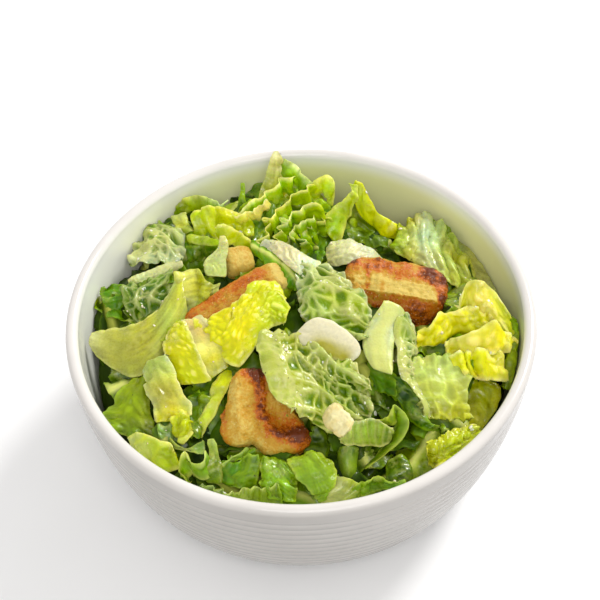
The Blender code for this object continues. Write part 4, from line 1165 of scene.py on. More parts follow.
def crumbled(points):
    """Broken, thicker at its left end."""
    out = points.copy()
    out[:, 2] *= 1 - 0.3 * np.clip(points[:, 0] / 5, -1, 1)
    out[:, 1] += 0.4 * np.sin(math.tau * points[:, 0] / 10)
    return out


def three_ways(points, normals, pattern):
    """A flat pattern laid on a solid from its three sides and blended by the normal."""
    weight = np.abs(normals) ** 4
    weight = weight / weight.sum(axis=1, keepdims=True)
    x, y, z = points.T
    return weight[:, 0] * pattern(y, z) + weight[:, 1] * pattern(z, x) + weight[:, 2] * pattern(x, y)


def toast_front(points, normals):
    """Toasting of the front crouton: a dark pebbly ridge down the middle and along the front of the right
    half, a scorched right corner, gold faces browner at their sides, partly crust and partly painted shade on
    their rounded flanks, and browner in the right pillow's hollow as painted shade."""
    ridge = from_path(points, FRONT_RIDGE)
    upper = smooth(-0.3, 0.4, normals[:, 2])
    toast = 0.22 + 0.07 * rough3(points, 5, 71)
    ridge = ridge + 0.7 * rough3(points, 2.5, 79)
    toast += upper * 0.46 * np.exp(-((ridge / 2) ** 2)) * (0.8 + 0.7 * rough3(points, 1.5, 75, 2))
    toast += 0.22 * np.exp(-((ridge / 4.5) ** 2))
    toast += 0.4 * mound(points, (11.5, -9.5), 3.2) + 0.5 * mound(points, (-1.5, 15), 4.5)
    # painted shade: browner in the hollow of the right pillow
    toast += upper * 0.26 * mound(points, (6, -4), 5) + 0.16 * smooth(4, 12, points[:, 0])
    # browner at the sides: partly crust, partly painted shade on the pillows' rounded flanks
    toast += 0.3 * smooth(-10.5, -14, points[:, 0]) + 0.22 * smooth(9, 14, points[:, 1])
    toast += 0.1 * smooth(0.2, -0.5, normals[:, 2])
    return toast


def toast_right(points, normals):
    """Toasting of the right crouton: a thick dark crust round its back and right side, a band of cream crumb,
    mottled at its left end, and a brown face in front, toasted and darkened further as painted shade."""
    patchy = rough3(points, 4, 76, 3)
    x, y = points[:, 0], points[:, 1] + 1.6 * patchy
    crust = smooth(-1.2, 2.2, y - 0.12 * np.abs(x - 2)) + smooth(12.6, 15.4, x + 0.35 * y)
    crust = np.clip(crust + smooth(-15, -17.5, x), 0, 1)
    # the front face is turned from the light: its brown is partly toasting, partly painted shade
    face = smooth(-4.9, -6.6, y - 0.8 * patchy) * (1 - 0.35 * smooth(0, -4, x))
    mottle = smooth(2, -8, x) * (0.3 + 0.5 * rough3(points, 2, 77, 2))
    toast = 0.06 + mottle + 0.08 * rough3(points, 2, 78)
    toast = toast * (1 - crust) + crust * (0.6 + 0.3 * rough3(points, 3.5, 72) + 0.18 * smooth(6, 14, x))
    toast = toast * (1 - face) + face * (0.68 + 0.14 * patchy)
    return toast


def toast_left(points, normals):
    """Toasting of the left crouton: orange-brown, darkest on its upper back edge, pale at its right end."""
    edge = np.exp(-(((points[:, 1] - 3.5) / 2.4) ** 2)) * smooth(-0.1, 0.6, normals[:, 2])
    toast = 0.47 + 0.22 * edge + 0.1 * rough3(points, 4, 73) - 0.5 * smooth(13, 19, points[:, 0])
    return toast


def toast_back(points, normals):
    """Toasting of the back crouton: pale gold, browner below."""
    return 0.16 + 0.2 * smooth(2, -5, points[:, 2]) + 0.07 * rough3(points, 3, 74)


# name, half sizes, roundness, shape, turn in degrees, cuts, toasting, pores, lumps, specks
CROUTONS = (
    ("crouton_front", (17, 15.5, 7), 4, torn_bread, (25, 0, 3), 72, toast_front, 0.55, 0.8, 0.2),
    ("crouton_right", (19.5, 12, 10), 3.2, baguette_end, (4, 6, -9), 72, toast_right, 0.5, 0.8, 0.3),
    ("crouton_left", (21, 8, 8), 4, long_crust, (8, -8, 27), 60, toast_left, 0.45, 0.6, 0.2),
    ("crouton_back", (5.4, 5.6, 6.6), 4.5, heel, (12, 0, 16), 30, toast_back, 0.3, 0.3, 0.1),
)


def turned(degrees):
    """The rotation matrix that turns about x, then y, then z."""
    turn = np.eye(3)
    for axis, angle in zip("XYZ", degrees):
        turn = np.array(Matrix.Rotation(math.radians(angle), 3, axis)) @ turn
    return turn


def seat(points, name, turn):
    """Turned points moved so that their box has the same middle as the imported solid's."""
    points = points @ turned(turn).T
    low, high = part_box(name)
    middle = (np.array(low) + np.array(high)) / 2 / MM
    return points - (points.min(axis=0) + points.max(axis=0)) / 2 + middle


def view_place():
    """Where the camera stands, and its axes: right, up and back, turned a little about the line of sight."""
    stage = bpy.context.scene.salad_stage
    lift, roll = stage.camera_height, stage.camera_roll
    back = np.array([0, -math.cos(lift), math.sin(lift)])
    up = np.array([0, math.sin(lift), math.cos(lift)])
    right = np.array([1.0, 0, 0])
    across = math.cos(roll) * right + math.sin(roll) * up
    upward = -math.sin(roll) * right + math.cos(roll) * up
    return back, across, upward


# ---------------------------------------------------------------- settings and what the operators share


class SaladBowlSettings(bpy.types.PropertyGroup):
    """The bowl's ribs, and how finely it is turned."""

    rib_count: bpy.props.IntProperty(name="Ribs", description="Ribs round the outside", default=12)
    rib_pitch: bpy.props.FloatProperty(
        name="Rib Pitch", description="Ridge to ridge, along the wall", default=4.1 * MM, unit="LENGTH"
    )
    rib_relief: bpy.props.FloatProperty(
        name="Rib Relief", description="Depth of the grooves, each way", default=0.16 * MM, unit="LENGTH"
    )
    sectors: bpy.props.IntProperty(name="Sectors", description="Steps round the bowl", default=240, min=48)


class SaladLeafSettings(bpy.types.PropertyGroup):
    """Fineness and number of the leaves."""

    fine_step: bpy.props.FloatProperty(
        name="Fine Step", description="Grid step of the leaves on top", default=0.55 * MM, unit="LENGTH"
    )
    loose_step: bpy.props.FloatProperty(
        name="Loose Step", description="Grid step of the leaves below", default=1.15 * MM, unit="LENGTH"
    )
    loose_high: bpy.props.IntProperty(
        name="Upper Leaves", description="Strewn leaves near the top", default=90
    )
    loose_low: bpy.props.IntProperty(
        name="Lower Leaves", description="Strewn leaves in the dark below", default=110
    )


class SaladToppingSettings(bpy.types.PropertyGroup):
    """Numbers and colour of what lies on the leaves."""

    drops: bpy.props.IntProperty(name="Dressing Drops", description="Beads of dressing", default=45)
    crumbs: bpy.props.IntProperty(name="Cheese Crumbs", description="Grated crumbs of cheese", default=26)
    pepper: bpy.props.IntProperty(name="Pepper Grains", description="Grains of ground pepper", default=20)
    cheese: bpy.props.FloatVectorProperty(
        name="Cheese", description="Colour of the shaving's pale side", default=srgb(218, 211, 176), size=3,
        subtype="COLOR",
    )


class SaladStageSettings(bpy.types.PropertyGroup):
    """Camera and light."""

    camera_distance: bpy.props.FloatProperty(
        name="Camera Distance", description="From the camera to its target", default=0.510, unit="LENGTH"
    )
    camera_height: bpy.props.FloatProperty(
        name="Camera Elevation", description="Angle above the table", default=math.radians(49.97),
        subtype="ANGLE",
    )
    camera_roll: bpy.props.FloatProperty(
        name="Camera Roll", description="Turn about the line of sight", default=math.radians(-2.13),
        subtype="ANGLE",
    )
    lens: bpy.props.FloatProperty(name="Lens", description="Focal length in millimetres", default=85.49)
    target_height: bpy.props.FloatProperty(
        name="Target Height", description="Height that the camera looks at", default=0.0741, unit="LENGTH"
    )
    overhead: bpy.props.FloatProperty(
        name="Overhead Light", description="Strength of the light above", default=1.15
    )
    window: bpy.props.FloatProperty(
        name="Window Light", description="Strength of the light at the right", default=2.3
    )
    fill: bpy.props.FloatProperty(
        name="Fill Light", description="Brightness of the surroundings", default=1.0
    )
    zenith: bpy.props.FloatProperty(
        name="Zenith", description="Brightness of the surroundings overhead", default=0.45
    )
    under: bpy.props.FloatProperty(
        name="Under", description="Brightness of the surroundings below the table's edge", default=0.05
    )


class SaladOperator:
    """What the salad's operators share."""

    bl_options = {"REGISTER", "UNDO"}

    def execute(self, context):
        self.build(context.scene)
        return {"FINISHED"}


# ---------------------------------------------------------------- the bowl


def lathe(profile, sectors):
    """A section of (radius, height) turned round the axis, closed at both ends by a pole."""
    angle = np.arange(sectors) * math.tau / sectors
    body = profile[1:-1]
    x, y = body[:, :1] * np.cos(angle), body[:, :1] * np.sin(angle)
    rings = np.stack([x, y, np.repeat(body[:, 1:], sectors, axis=1)], axis=-1)
    return closed_rings(rings, (0, 0, profile[0, 1]), (0, 0, profile[-1, 1]))


def closed_rings(rings, first, last):
    """Rings of points joined into a skin, with a pole before the first ring and after the last."""
    count, sectors = rings.shape[:2]
    points = np.concatenate([rings.reshape(-1, 3), [first], [last]])
    step = np.arange(sectors)
    after = (step + 1) % sectors
    size = count * sectors
    opening = np.stack([np.full(sectors, size), step, after], axis=1)
    closing = np.stack([np.full(sectors, size + 1), size - sectors + after, size - sectors + step], axis=1)
    return points, [grid_faces(count, sectors, closed=True), opening, closing]


OUTER_RADIUS, OUTER_HEIGHT = 53, 2.6  # where the outer wall starts, above the foot
RIBS_START = 6  # along the wall from the lip to the first groove
LIP_STEPS, WALL_STEPS, CURVE_STEPS = 17, 210, 900  # points of the section, and of the curve under the ribs
FOOT = np.array([
    (50.7, 2.0), (50.0, 1.5), (49.6, 0.9), (49.4, 0.4), (48.9, 0), (45.9, 0), (45.4, 0.3), (45.1, 1.0),
    (44.8, 1.5), (44.0, 1.6), (20, 1.6), (0, 1.6),
])


def bowl_section(bowl):
    """Floor, inner wall, rounded lip, ribbed outer wall, foot ring and recess. A rib's groove is a bell curve
    pressed into the wall once each pitch."""
    rim, top = RIM_RADIUS, RIM_HEIGHT
    half = LIP_THICKNESS / 2
    turn = np.linspace(math.pi, 0, LIP_STEPS)
    lip = np.stack([rim - half + half * np.cos(turn), top - half + half * np.sin(turn)], axis=1)
    outer = wall_curve(OUTER_RADIUS, rim, OUTER_HEIGHT, top - half, CURVE_STEPS)[::-1]
    run = np.concatenate([[0], np.cumsum(np.linalg.norm(np.diff(outer, axis=0), axis=1))])
    wanted = np.linspace(0.4, run[-1] - 0.5, WALL_STEPS)
    wall = np.stack([np.interp(wanted, run, outer[:, k]) for k in (0, 1)], axis=1)
    ahead = unit(np.gradient(wall, axis=0))
    outward = np.stack([-ahead[:, 1], ahead[:, 0]], axis=1)
    pitch, relief = bowl.rib_pitch / MM, bowl.rib_relief / MM
    order = (wanted - RIBS_START) / pitch
    groove = np.exp(-(((order - np.round(order)) / 0.2) ** 2))
    ribbed = smooth(4, 5.5, wanted) * smooth(0, 2, RIBS_START + bowl.rib_count * pitch + 1 - wanted)
    wall = wall + outward * (relief * (0.6 - 1.6 * groove) * ribbed)[:, None]
    floor = np.array([(0, FLOOR_HEIGHT), (20, FLOOR_HEIGHT), (40, FLOOR_HEIGHT)])
    inner = INNER_WALL[np.concatenate([np.arange(0, 199, 4), [199]])]
    return np.concatenate([floor, inner[:-1], lip, wall, FOOT])


class SALAD_OT_bowl(SaladOperator, bpy.types.Operator):
    """The glazed bowl, turned from its section"""

    bl_idname = "salad.bowl"
    bl_label = "Bowl"

    def build(self, scene):
        section, sectors = bowl_section(scene.salad_bowl), scene.salad_bowl.sectors
        past_lip = np.arange(len(section)) - section[:, 1].argmax()
        inner = 1 / (1 + np.exp((past_lip + 6) / 1.5))
        points, faces = lathe(section, sectors)
        surface = Surface()
        inner = np.concatenate([np.repeat(inner[1:-1], sectors), inner[[0, -1]]])
        radius = np.maximum(np.hypot(points[:, 0], points[:, 1]), 1)
        # painted reflection: olive green light from the leaves on the inner wall below the lip, strongest
        # behind on the right
        facing = (0.64 * points[:, 0] + 0.77 * points[:, 1]) / radius
        green_reflection = 0.15 + 0.85 * smooth(-0.2, 0.8, facing)
        film = smooth(RIM_HEIGHT - 1, RIM_HEIGHT - 9, points[:, 2]) * green_reflection
        surface.add(points, faces, inner=inner, film=film)
        piece = surface.mesh("bowl_glazed", glaze_material())
        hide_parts("bowl")


# ---------------------------------------------------------------- the lettuce


def finish_leaves(surface, name, finish):
    """One piece of many leaves, made from their surface."""
    piece = surface.mesh(name, finish)
    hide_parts("lettuce_heap")


MIDDLE_DEPTH, MIDDLE_RADIUS = 13, 76  # how far the dark middle lies under the heap's top, and its reach
MIDDLE_RINGS, MIDDLE_SIDE_RINGS, MIDDLE_SECTORS = 40, 11, 120
# greens of the strewn leaves in the dark below, darkened as painted shade
SHADOWED_GREENS = ((42, 74, 6), (36, 64, 4), (52, 86, 8), (66, 104, 12), (30, 56, 3))
FRESH_GREENS = ((78, 124, 14), (66, 108, 10), (100, 144, 20), (150, 180, 45), (55, 95, 8), (118, 156, 26))
LOW_DEPTHS, HIGH_DEPTHS = (8, 15), (3.5, 9)  # how far strewn leaves lie under the heap's top


class SALAD_OT_heap(SaladOperator, bpy.types.Operator):
    """The dark middle of the heap, whose near-black green is painted shade, and the loose leaves strewn over
    it
    """

    bl_idname = "salad.heap"
    bl_label = "Heap and Loose Leaves"

    def build(self, scene):
        settings = scene.salad_leaves
        angle = np.arange(MIDDLE_SECTORS) * math.tau / MIDDLE_SECTORS
        share = np.linspace(0, 1, MIDDLE_RINGS + 1)[1:, None]
        x, y = MIDDLE_RADIUS * share * np.cos(angle), MIDDLE_RADIUS * share * np.sin(angle)
        top = np.stack([x, y, heap_top(x, y) - MIDDLE_DEPTH + 1.2 * rough(x / 7, y / 7, 5)], axis=-1)
        down, base = np.linspace(1, 0, MIDDLE_SIDE_RINGS + 1)[1:, None], FLOOR_HEIGHT + 1
        radius = np.interp(down * 42 + base, INNER_WALL[:, 1], INNER_WALL[:, 0] - 1)
        height = np.broadcast_to(down * 30 + base, (MIDDLE_SIDE_RINGS, MIDDLE_SECTORS))
        side = np.stack([np.cos(angle) * radius, np.sin(angle) * radius, height], axis=-1)
        summit = float(heap_top(0, 0)) - MIDDLE_DEPTH
        points, faces = closed_rings(inside(np.concatenate([top, side])), (0, 0, summit), (0, 0, base))
        core = Surface()
        # near-black green: painted shade standing for the leaves deep in the heap
        dark = np.array(srgb(26, 46, 6))
        tone = 1 + 0.35 * rough(points[:, 0] / 9, points[:, 1] / 9, 6)
        plain = np.zeros((len(points), 3))
        core.add(points, faces, tint=dark * tone[:, None], marks=plain, relief=plain + 0.3)
        finish_leaves(core, "heap_middle", bpy.data.materials["Deep Leaf"])

        step = settings.loose_step / MM
        cover = cover_map(read_surfaces(("leaves_", "crouton_", "cheese_"))[0])
        low, high = Surface(), Surface()
        strewn = loose_leaves(settings.loose_low, *LOW_DEPTHS, seed=31, greens=SHADOWED_GREENS)
        for k, (rows, look) in enumerate(strewn):
            leaf(low, rows, 300 + 29 * k, step * 1.2, look, cover)
        strewn = loose_leaves(settings.loose_high, *HIGH_DEPTHS, seed=57, greens=FRESH_GREENS)
        for k, (rows, look) in enumerate(strewn):
            leaf(high, rows, 900 + 29 * k, step, look, cover)
        finish_leaves(low, "leaves_deep", bpy.data.materials["Deep Leaf"])
        finish_leaves(high, "leaves_loose", bpy.data.materials["Green Leaf"])


class SALAD_OT_leaves(SaladOperator, bpy.types.Operator):
    """The listed leaves laid over the top of the heap, one piece for each kind"""

    bl_idname = "salad.leaves"
    bl_label = "Leaves on Top"

    def build(self, scene):
        step = scene.salad_leaves.fine_step / MM
        kinds = {kind: Surface() for kind in KINDS}
        for k, (_, kind, look, rows) in enumerate(LEAVES):
            leaf(kinds[kind], rows, 4000 + 37 * k, step, {**KINDS[kind], **look})
        finishes = {
            "heart": "Heart Leaf", "pale": "Pale Leaf", "green": "Green Leaf", "lime": "Lime Leaf",
            "dressed": "Dressed Leaf", "rib": "Midrib",
        }
        for kind, surface in kinds.items():
            finish_leaves(surface, "leaves_" + kind, bpy.data.materials[finishes[kind]])


# ---------------------------------------------------------------- croutons, cheese and dressing


class SALAD_OT_croutons(SaladOperator, bpy.types.Operator):
    """The four toasted pieces of bread"""

    bl_idname = "salad.croutons"
    bl_label = "Croutons"

    def build(self, scene):
        for k, (name, halves, roundness, rule, turn, cuts, toasting, *grain) in enumerate(CROUTONS):
            pores, lumps, specks = grain
            points, faces = superellipsoid(halves, roundness, cuts)
            local = rule(points)
            normals = face_normals(local, faces)
            toast = np.clip(toasting(local, normals), 0, 1)
            crust = smooth(0.55, 0.85, toast)

            def pitted(x, y):
                large = cells(x / 2.6 + 3.3, y / 2.6, 80 + k)[0]
                small = cells(x / 1.25, y / 1.25, 90 + k)[0]
                holes = smooth(0.42, 0.1, large) * smooth(-0.2, 0.5, noise(x / 5, y / 5, 85 + k))
                return -holes - 0.3 * smooth(0.4, 0.1, small)

            lift = lumps * rough3(local, 5, 60 + k, 3) + 0.16 * rough3(local, 1.5, 65 + k, 2)
            lift += pores * three_ways(local, normals, pitted) * (1 - 0.55 * crust)
            lift += crust * (0.3 + 0.4 * rough3(local, 1.3, 95 + k, 2))
            local = local + normals * lift[:, None]
            surface = Surface()
            surface.add(seat(local, name, turn), [faces], toast=toast)
            finish = toast_material(name.replace("_", " ").title() + " Toast", specks)
            piece = surface.mesh(name + "_bread", finish)
            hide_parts(name)


SHAVING_HALF_THICKNESS, SHAVING_TURN = 1.5, (42, 6, -12)  # turned in degrees about x, y and z
LUMP_HALVES, LUMP_TURN = (5.8, 4.1, 2.2), (38, 0, -62)


class SALAD_OT_cheese(SaladOperator, bpy.types.Operator):
    """The shaving of hard cheese and the small broken lump"""

    bl_idname = "salad.cheese"
    bl_label = "Cheese"

    def build(self, scene):
        points, faces = superellipsoid((1, 1, SHAVING_HALF_THICKNESS), roundness=3, cuts=56)
        local = shaved(points)
        normals = face_normals(local, faces)
        scrape = 0.03 * np.sin(local[:, 1] * 2.1 + 0.6 * noise(local[:, 0] / 4, local[:, 1] / 4, 41))
        scrape = scrape * smooth(0.2, 0.8, normals[:, 2])
        local = local + normals * (0.14 * rough3(local, 4, 42) + scrape)[:, None]
        pale = np.array(scene.salad_toppings.cheese)
        shaded_olive, rim, tan = (
            np.array(srgb(*steps)) for steps in ((172, 164, 40), (226, 220, 188), (205, 190, 125))
        )
        # painted shade: an olive streak across the lower face, which is turned from the light and takes green
        # light from the leaves
        along, across = (local[:, 0] - 4) / 8, (local[:, 1] + 1.8 + 0.3 * local[:, 0]) / 3.6
        shade_streak = np.exp(-(along**4) - across**2)
        shade_streak = np.clip(1.05 * shade_streak * (1 + 0.3 * rough3(local, 3, 43)), 0, 1)[:, None]
        left = 0.5 * smooth(-7, -12, local[:, 0])[:, None]
        # painted highlight: the lit right edge of the shaving, paler cream
        edge = smooth(10, 13.5, local[:, 0] - 0.5 * local[:, 1])[:, None]
        tint = pale * (1 - shade_streak) + shaded_olive * shade_streak
        tint = tint * (1 - 0.55 * left) + tan * 0.55 * left
        tint = tint * (1 - edge) + rim * edge
        surface = Surface()
        surface.add(seat(local, "cheese_shaving", SHAVING_TURN), [faces], tint=tint)
        piece = surface.mesh("cheese_shaving_slice", cheese_material("Shaved Cheese", subsurface=0.25))
        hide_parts("cheese_shaving")

        points, faces = superellipsoid(LUMP_HALVES, roundness=3.6, cuts=34)
        local = crumbled(points)
        normals = face_normals(local, faces)
        lumps = np.abs(rough3(local, 4.5, 44)) - 0.3  # broken faces meeting in ridges
        local = local + normals * (1.1 * lumps + 0.2 * rough3(local, 0.9, 45, 2))[:, None]
        blend = smooth(-0.6, 0.6, rough3(local, 3, 46))[:, None]
        golden, cream = np.array(srgb(222, 204, 138)), np.array(srgb(230, 220, 165))
        tint = golden * (1 - blend) + cream * blend
        surface = Surface()
        surface.add(seat(local, "cheese_lump", LUMP_TURN), [faces], tint=tint)
        piece = surface.mesh("cheese_lump_piece", cheese_material("Broken Cheese", subsurface=0.15))
        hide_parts("cheese_lump")


def read_surfaces(starts):
    """Points, normals and dressing marks of every piece whose name starts so, in millimetres."""
    points, normals, wet = [], [], []
    for piece in sorted(bpy.context.scene.objects, key=lambda each: each.name):
        if piece.type == "MESH" and piece.name.startswith(starts):
            count = len(piece.data.vertices)
            place, normal = np.empty(count * 3, np.float32), np.empty(count * 3, np.float32)
            piece.data.vertices.foreach_get("co", place)
            piece.data.vertex_normals.foreach_get("vector", normal)
            marks = np.zeros(count * 4, np.float32)
            if "marks" in piece.data.attributes:
                piece.data.attributes["marks"].data.foreach_get("color", marks)
            points.append(place.reshape(-1, 3) / MM)
            normals.append(normal.reshape(-1, 3))
            wet.append(marks.reshape(-1, 4)[:, 2])
    return np.concatenate(points), np.concatenate(normals), np.concatenate(wet)


def open_to_sky(points, normals, limit):
    """Which points face up and have nothing above them: no point of their square, limit wide, is higher."""
    square = np.floor(points[:, :2] / limit).astype(int)
    key = square[:, 0] * 4096 + square[:, 1]  # one whole number for each square
    order = np.argsort(key, kind="stable")
    bounds = np.flatnonzero(np.diff(key[order])) + 1
    highest = np.maximum.reduceat(points[order, 2], np.concatenate([[0], bounds]))
    group = np.zeros(len(points), int)
    group[order] = np.repeat(np.arange(len(highest)), np.diff(np.concatenate([[0], bounds, [len(points)]])))
    return (points[:, 2] > highest[group] - 0.5 * limit) & (normals[:, 2] > 0.25)


def blobs(surface, places, normals, sizes, flatness, lumpiness, seed, sectors=8, rings=3):
    """Small closed lumps, each a flattened sphere of rings on its own normal, roughened by noise."""
    draw = np.random.default_rng(seed)
    count = len(places)
    helper = np.where(np.abs(normals[:, 2:3]) < 0.9, np.array([[0, 0, 1.0]]), np.array([[1.0, 0, 0]]))
    first = unit(np.cross(helper, normals))
    second = np.cross(normals, first)
    spin = draw.uniform(0, math.tau, count)[:, None]
    first, second = first * np.cos(spin) + second * np.sin(spin), second * np.cos(spin) - first * np.sin(spin)
    stretch = draw.uniform(0.7, 1.35, count)
    polar = np.linspace(0, math.pi, rings + 2)[1:-1]
    angle = np.arange(sectors) * math.tau / sectors
    shape = np.stack([
        np.sin(polar)[:, None] * np.cos(angle), np.sin(polar)[:, None] * np.sin(angle),
        np.repeat(np.cos(polar)[:, None], sectors, axis=1),
    ], axis=-1)
    for k in range(count):
        lump = 1 + lumpiness * draw.uniform(-1, 1, shape.shape[:2])
        local = shape * lump[..., None] * np.array([stretch[k], 1 / stretch[k], flatness]) * sizes[k]
        axes = np.stack([first[k], second[k], normals[k]])
        pole = normals[k] * flatness * sizes[k]
        points, faces = closed_rings(local @ axes + places[k], places[k] + pole, places[k] - pole)
        surface.add(points, faces)


class SALAD_OT_dressing(SaladOperator, bpy.types.Operator):
    """Beads of dressing, crumbs of grated cheese and ground pepper on the leaves that lie open to the sky"""

    bl_idname = "salad.dressing"
    bl_label = "Dressing, Crumbs and Pepper"

    def build(self, scene):
        settings = scene.salad_toppings
        draw = np.random.default_rng(23)
        points, normals, wet = read_surfaces("leaves_")
        open_places = open_to_sky(points, normals, limit=1.5)
        wettest = np.flatnonzero(open_places & (wet > 0.6))
        picked = draw.choice(wettest, settings.drops, replace=False)
        sizes = 0.3 + 0.6 * draw.random(settings.drops) ** 2
        drops = Surface()
        blobs(drops, points[picked], normals[picked], sizes, flatness=0.22, lumpiness=0.2, seed=24)
        piece = drops.mesh("dressing_drops", bpy.data.materials["Creamy Dressing"])

        open_all = np.flatnonzero(open_places)
        picked = draw.choice(open_all, settings.crumbs, replace=False)
        sizes = 0.25 + 0.5 * draw.random(settings.crumbs) ** 2
        crumbs = Surface()
        lifted = points[picked] + normals[picked] * sizes[:, None] * 0.3
        blobs(crumbs, lifted, normals[picked], sizes, flatness=0.7, lumpiness=0.3, seed=25, sectors=6)
        piece = crumbs.mesh("cheese_crumbs", bpy.data.materials["Cheese Crumb"])

        pepper = Surface()
        picked = draw.choice(open_all, settings.pepper, replace=False)
        sizes = 0.18 + 0.15 * draw.random(settings.pepper)
        lifted = points[picked] + normals[picked] * 0.1
        blobs(
            pepper, lifted, normals[picked], sizes, flatness=0.7, lumpiness=0.35, seed=26, sectors=5, rings=2
        )
        piece = pepper.mesh("pepper_grains", bpy.data.materials["Ground Pepper"])


# ---------------------------------------------------------------- finishes, stage and panel


LEAF_FINISHES = {
    "Heart Leaf": dict(
        roughness=0.38, subsurface=0.35, Vein_Amount=0.2, Hollow_Amount=0.1, Dressing_Amount=0.3,
        Vein_Colour=rgba(240, 238, 145), Rib_Colour=rgba(238, 236, 170), Pit_Colour=rgba(188, 198, 25),
        Pit_Amount=0.45, Crest_Amount=0.7,
    ),
    "Pale Leaf": dict(
        roughness=0.28, subsurface=0.4, Vein_Amount=0.3, Hollow_Amount=0.08, Dressing_Amount=0.3,
        Vein_Colour=rgba(215, 220, 140), Saturation=1.22, Hue=0.489, Value=0.86,
    ),
    "Green Leaf": dict(
        roughness=0.34, subsurface=0.3, Vein_Amount=0.35, Hollow_Amount=0.4, Dressing_Amount=0.2,
        Vein_Colour=rgba(160, 195, 65),
    ),
    "Lime Leaf": dict(
        roughness=0.32, subsurface=0.35, Vein_Amount=0.4, Hollow_Amount=0.2, Dressing_Amount=0.25,
        Hue=0.488, Value=1.08,
    ),
    "Dressed Leaf": dict(
        roughness=0.22, subsurface=0.3, bump_strength=0.9, Vein_Amount=0.6, Hollow_Amount=0.25,
        Dressing_Amount=0.45, Dressing_Colour=rgba(228, 230, 175), Vein_Colour=rgba(222, 230, 175),
        Rib_Colour=rgba(205, 215, 145), Pit_Colour=rgba(72, 122, 16), Pit_Amount=0.9, Saturation=1.4,
        Hue=0.486, Value=0.75,
    ),
    "Midrib": dict(
        roughness=0.26, subsurface=0.45, Vein_Amount=0.3, Hollow_Amount=0.05, Dressing_Amount=0.3,
        Vein_Colour=rgba(218, 222, 160), Saturation=1.08, Hue=0.49, Value=0.92,
    ),
    "Deep Leaf": dict(
        roughness=0.5, subsurface=0.2, specular=0.1, Vein_Amount=0.3, Hollow_Amount=0.4,
        Dressing_Amount=0.05, Vein_Colour=rgba(105, 140, 40), Saturation=1.25, Value=0.9,
    ),
}
PLAIN_FINISHES = {  # two tones, and how they are blended
    "Creamy Dressing": (
        (240, 238, 222), (228, 226, 196), dict(millimetres=1.2, roughness=0.22, subsurface=0.4),
    ),
    "Cheese Crumb": (
        (246, 238, 212), (230, 214, 168),
        dict(millimetres=0.8, roughness=0.5, subsurface=0.3, bump_strength=0.5),
    ),
    "Ground Pepper": (
        (40, 32, 22), (80, 66, 44), dict(millimetres=0.3, roughness=0.6, bump_strength=0.5),
    ),
}


class SALAD_OT_finishes(SaladOperator, bpy.types.Operator):
    """The shared node groups and the materials that several pieces use"""

    bl_idname = "salad.finishes"
    bl_label = "Finishes"

    def build(self, scene):
        build_leaf_group()
        build_toast_group()
        for name, values in LEAF_FINISHES.items():
            leaf_material(name, **values)
        for name, (first, second, values) in PLAIN_FINISHES.items():
            plain_material(name, first, second, **values)


LAMPS = (  # name, where its light comes from, spread in degrees
    ("overhead", (0.05, -0.75, 1.0), 36),
    ("window", (0.6, 0.6, 0.75), 18),
)
TABLE_REACH, TABLE_GAP = 6000, 0.05  # from the middle to the table's sides, and below the foot


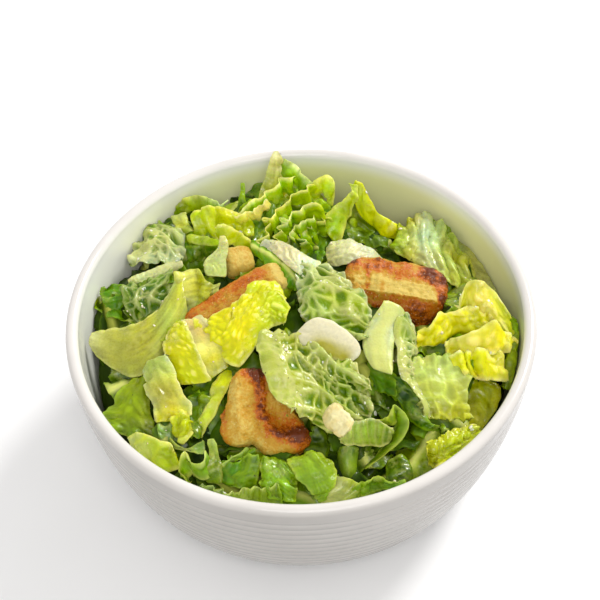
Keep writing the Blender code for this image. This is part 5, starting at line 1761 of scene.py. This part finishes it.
class SALAD_OT_stage(SaladOperator, bpy.types.Operator):
    """The camera, the pale floor and the soft window light behind on the right"""

    bl_idname = "salad.stage"
    bl_label = "Stage"

    def build(self, scene):
        settings = scene.salad_stage
        back, across, upward = view_place()
        place = np.array([0, 0, settings.target_height]) + back * settings.camera_distance
        data = bpy.data.cameras.new("Camera")
        data.lens, data.sensor_width, data.clip_start = settings.lens, 36, 0.01
        camera = bpy.data.objects.new("Camera", data)
        scene.collection.objects.link(camera)
        camera.matrix_world = Matrix(
            [[across[k], upward[k], back[k], place[k]] for k in range(3)] + [[0, 0, 0, 1]]
        )
        scene.camera = camera

        floor = Surface()
        line = np.linspace(-TABLE_REACH, TABLE_REACH, 5)
        x, y = np.meshgrid(line, line, indexing="ij")
        floor.add(np.stack([x, y, 0 * x - TABLE_GAP], axis=-1), [grid_faces(5, 5)])
        finish = plain_material(
            "Pale Table", (242, 241, 240), (244, 243, 242), millimetres=60, roughness=0.6
        )
        table = floor.mesh("pale_table", finish)
        table.visible_diffuse = False

        for name, away, spread in LAMPS:
            self.lamp(scene, name, getattr(settings, name), away, spread)
        world = bpy.data.worlds.new("Soft Surroundings")
        world.use_nodes = True
        tree = world.node_tree
        backdrop = tree.nodes["Background"]
        backdrop.inputs["Color"].default_value = (1, 1, 1, 1)
        height = node(tree, "SeparateXYZ", {0: node(tree, "TexCoord").outputs["Generated"]}).outputs[2]
        level = ranged(tree, height, -0.25, 0.1, settings.under, settings.fill)
        above = ranged(tree, height, 0.35, 0.95, 0.0, settings.fill - settings.zenith)
        feed(tree, backdrop, Strength=maths(tree, "SUBTRACT", level, above))
        scene.world = world
        scene.view_settings.view_transform = "Standard"

    def lamp(self, scene, name, strength, away, spread):
        """A soft far light that comes from this direction, spread over so many degrees."""
        data = bpy.data.lights.new(name, "SUN")
        data.energy, data.angle = strength, math.radians(spread)
        lamp = bpy.data.objects.new(name, data)
        scene.collection.objects.link(lamp)
        back = unit(np.array(away, float))
        across = unit(np.cross([0, 1.0, 0], back))
        upward = np.cross(back, across)
        lamp.matrix_world = Matrix(
            [[across[k], upward[k], back[k], away[k]] for k in range(3)] + [[0, 0, 0, 1]]
        )


class SALAD_PT_panel(bpy.types.Panel):
    """The salad's operators and settings"""

    bl_label = "Caesar Salad"
    bl_space_type = "VIEW_3D"
    bl_region_type = "UI"
    bl_category = "Salad"

    def draw(self, context):
        for operator in OPERATORS:
            self.layout.operator(operator.bl_idname)
        for name in SETTINGS:
            settings = getattr(context.scene, name)
            box = self.layout.box()
            for setting in settings.bl_rna.properties:
                if not setting.is_readonly and setting.identifier != "name":
                    box.prop(settings, setting.identifier)


OPERATORS = (
    SALAD_OT_finishes, SALAD_OT_bowl, SALAD_OT_croutons, SALAD_OT_cheese, SALAD_OT_leaves, SALAD_OT_heap,
    SALAD_OT_dressing, SALAD_OT_stage,
)
SETTINGS = {
    "salad_bowl": SaladBowlSettings,
    "salad_leaves": SaladLeafSettings,
    "salad_toppings": SaladToppingSettings,
    "salad_stage": SaladStageSettings,
}


def register():
    for made in (*SETTINGS.values(), *OPERATORS, SALAD_PT_panel):
        bpy.utils.register_class(made)
    for name, made in SETTINGS.items():
        setattr(bpy.types.Scene, name, bpy.props.PointerProperty(type=made))


def unregister():
    for name in SETTINGS:
        delattr(bpy.types.Scene, name)
    for made in reversed((*SETTINGS.values(), *OPERATORS, SALAD_PT_panel)):
        bpy.utils.unregister_class(made)


def main():
    register()
    for operator in OPERATORS:
        category, name = operator.bl_idname.split(".")
        getattr(getattr(bpy.ops, category), name)()


if __name__ == "__main__":
    main()
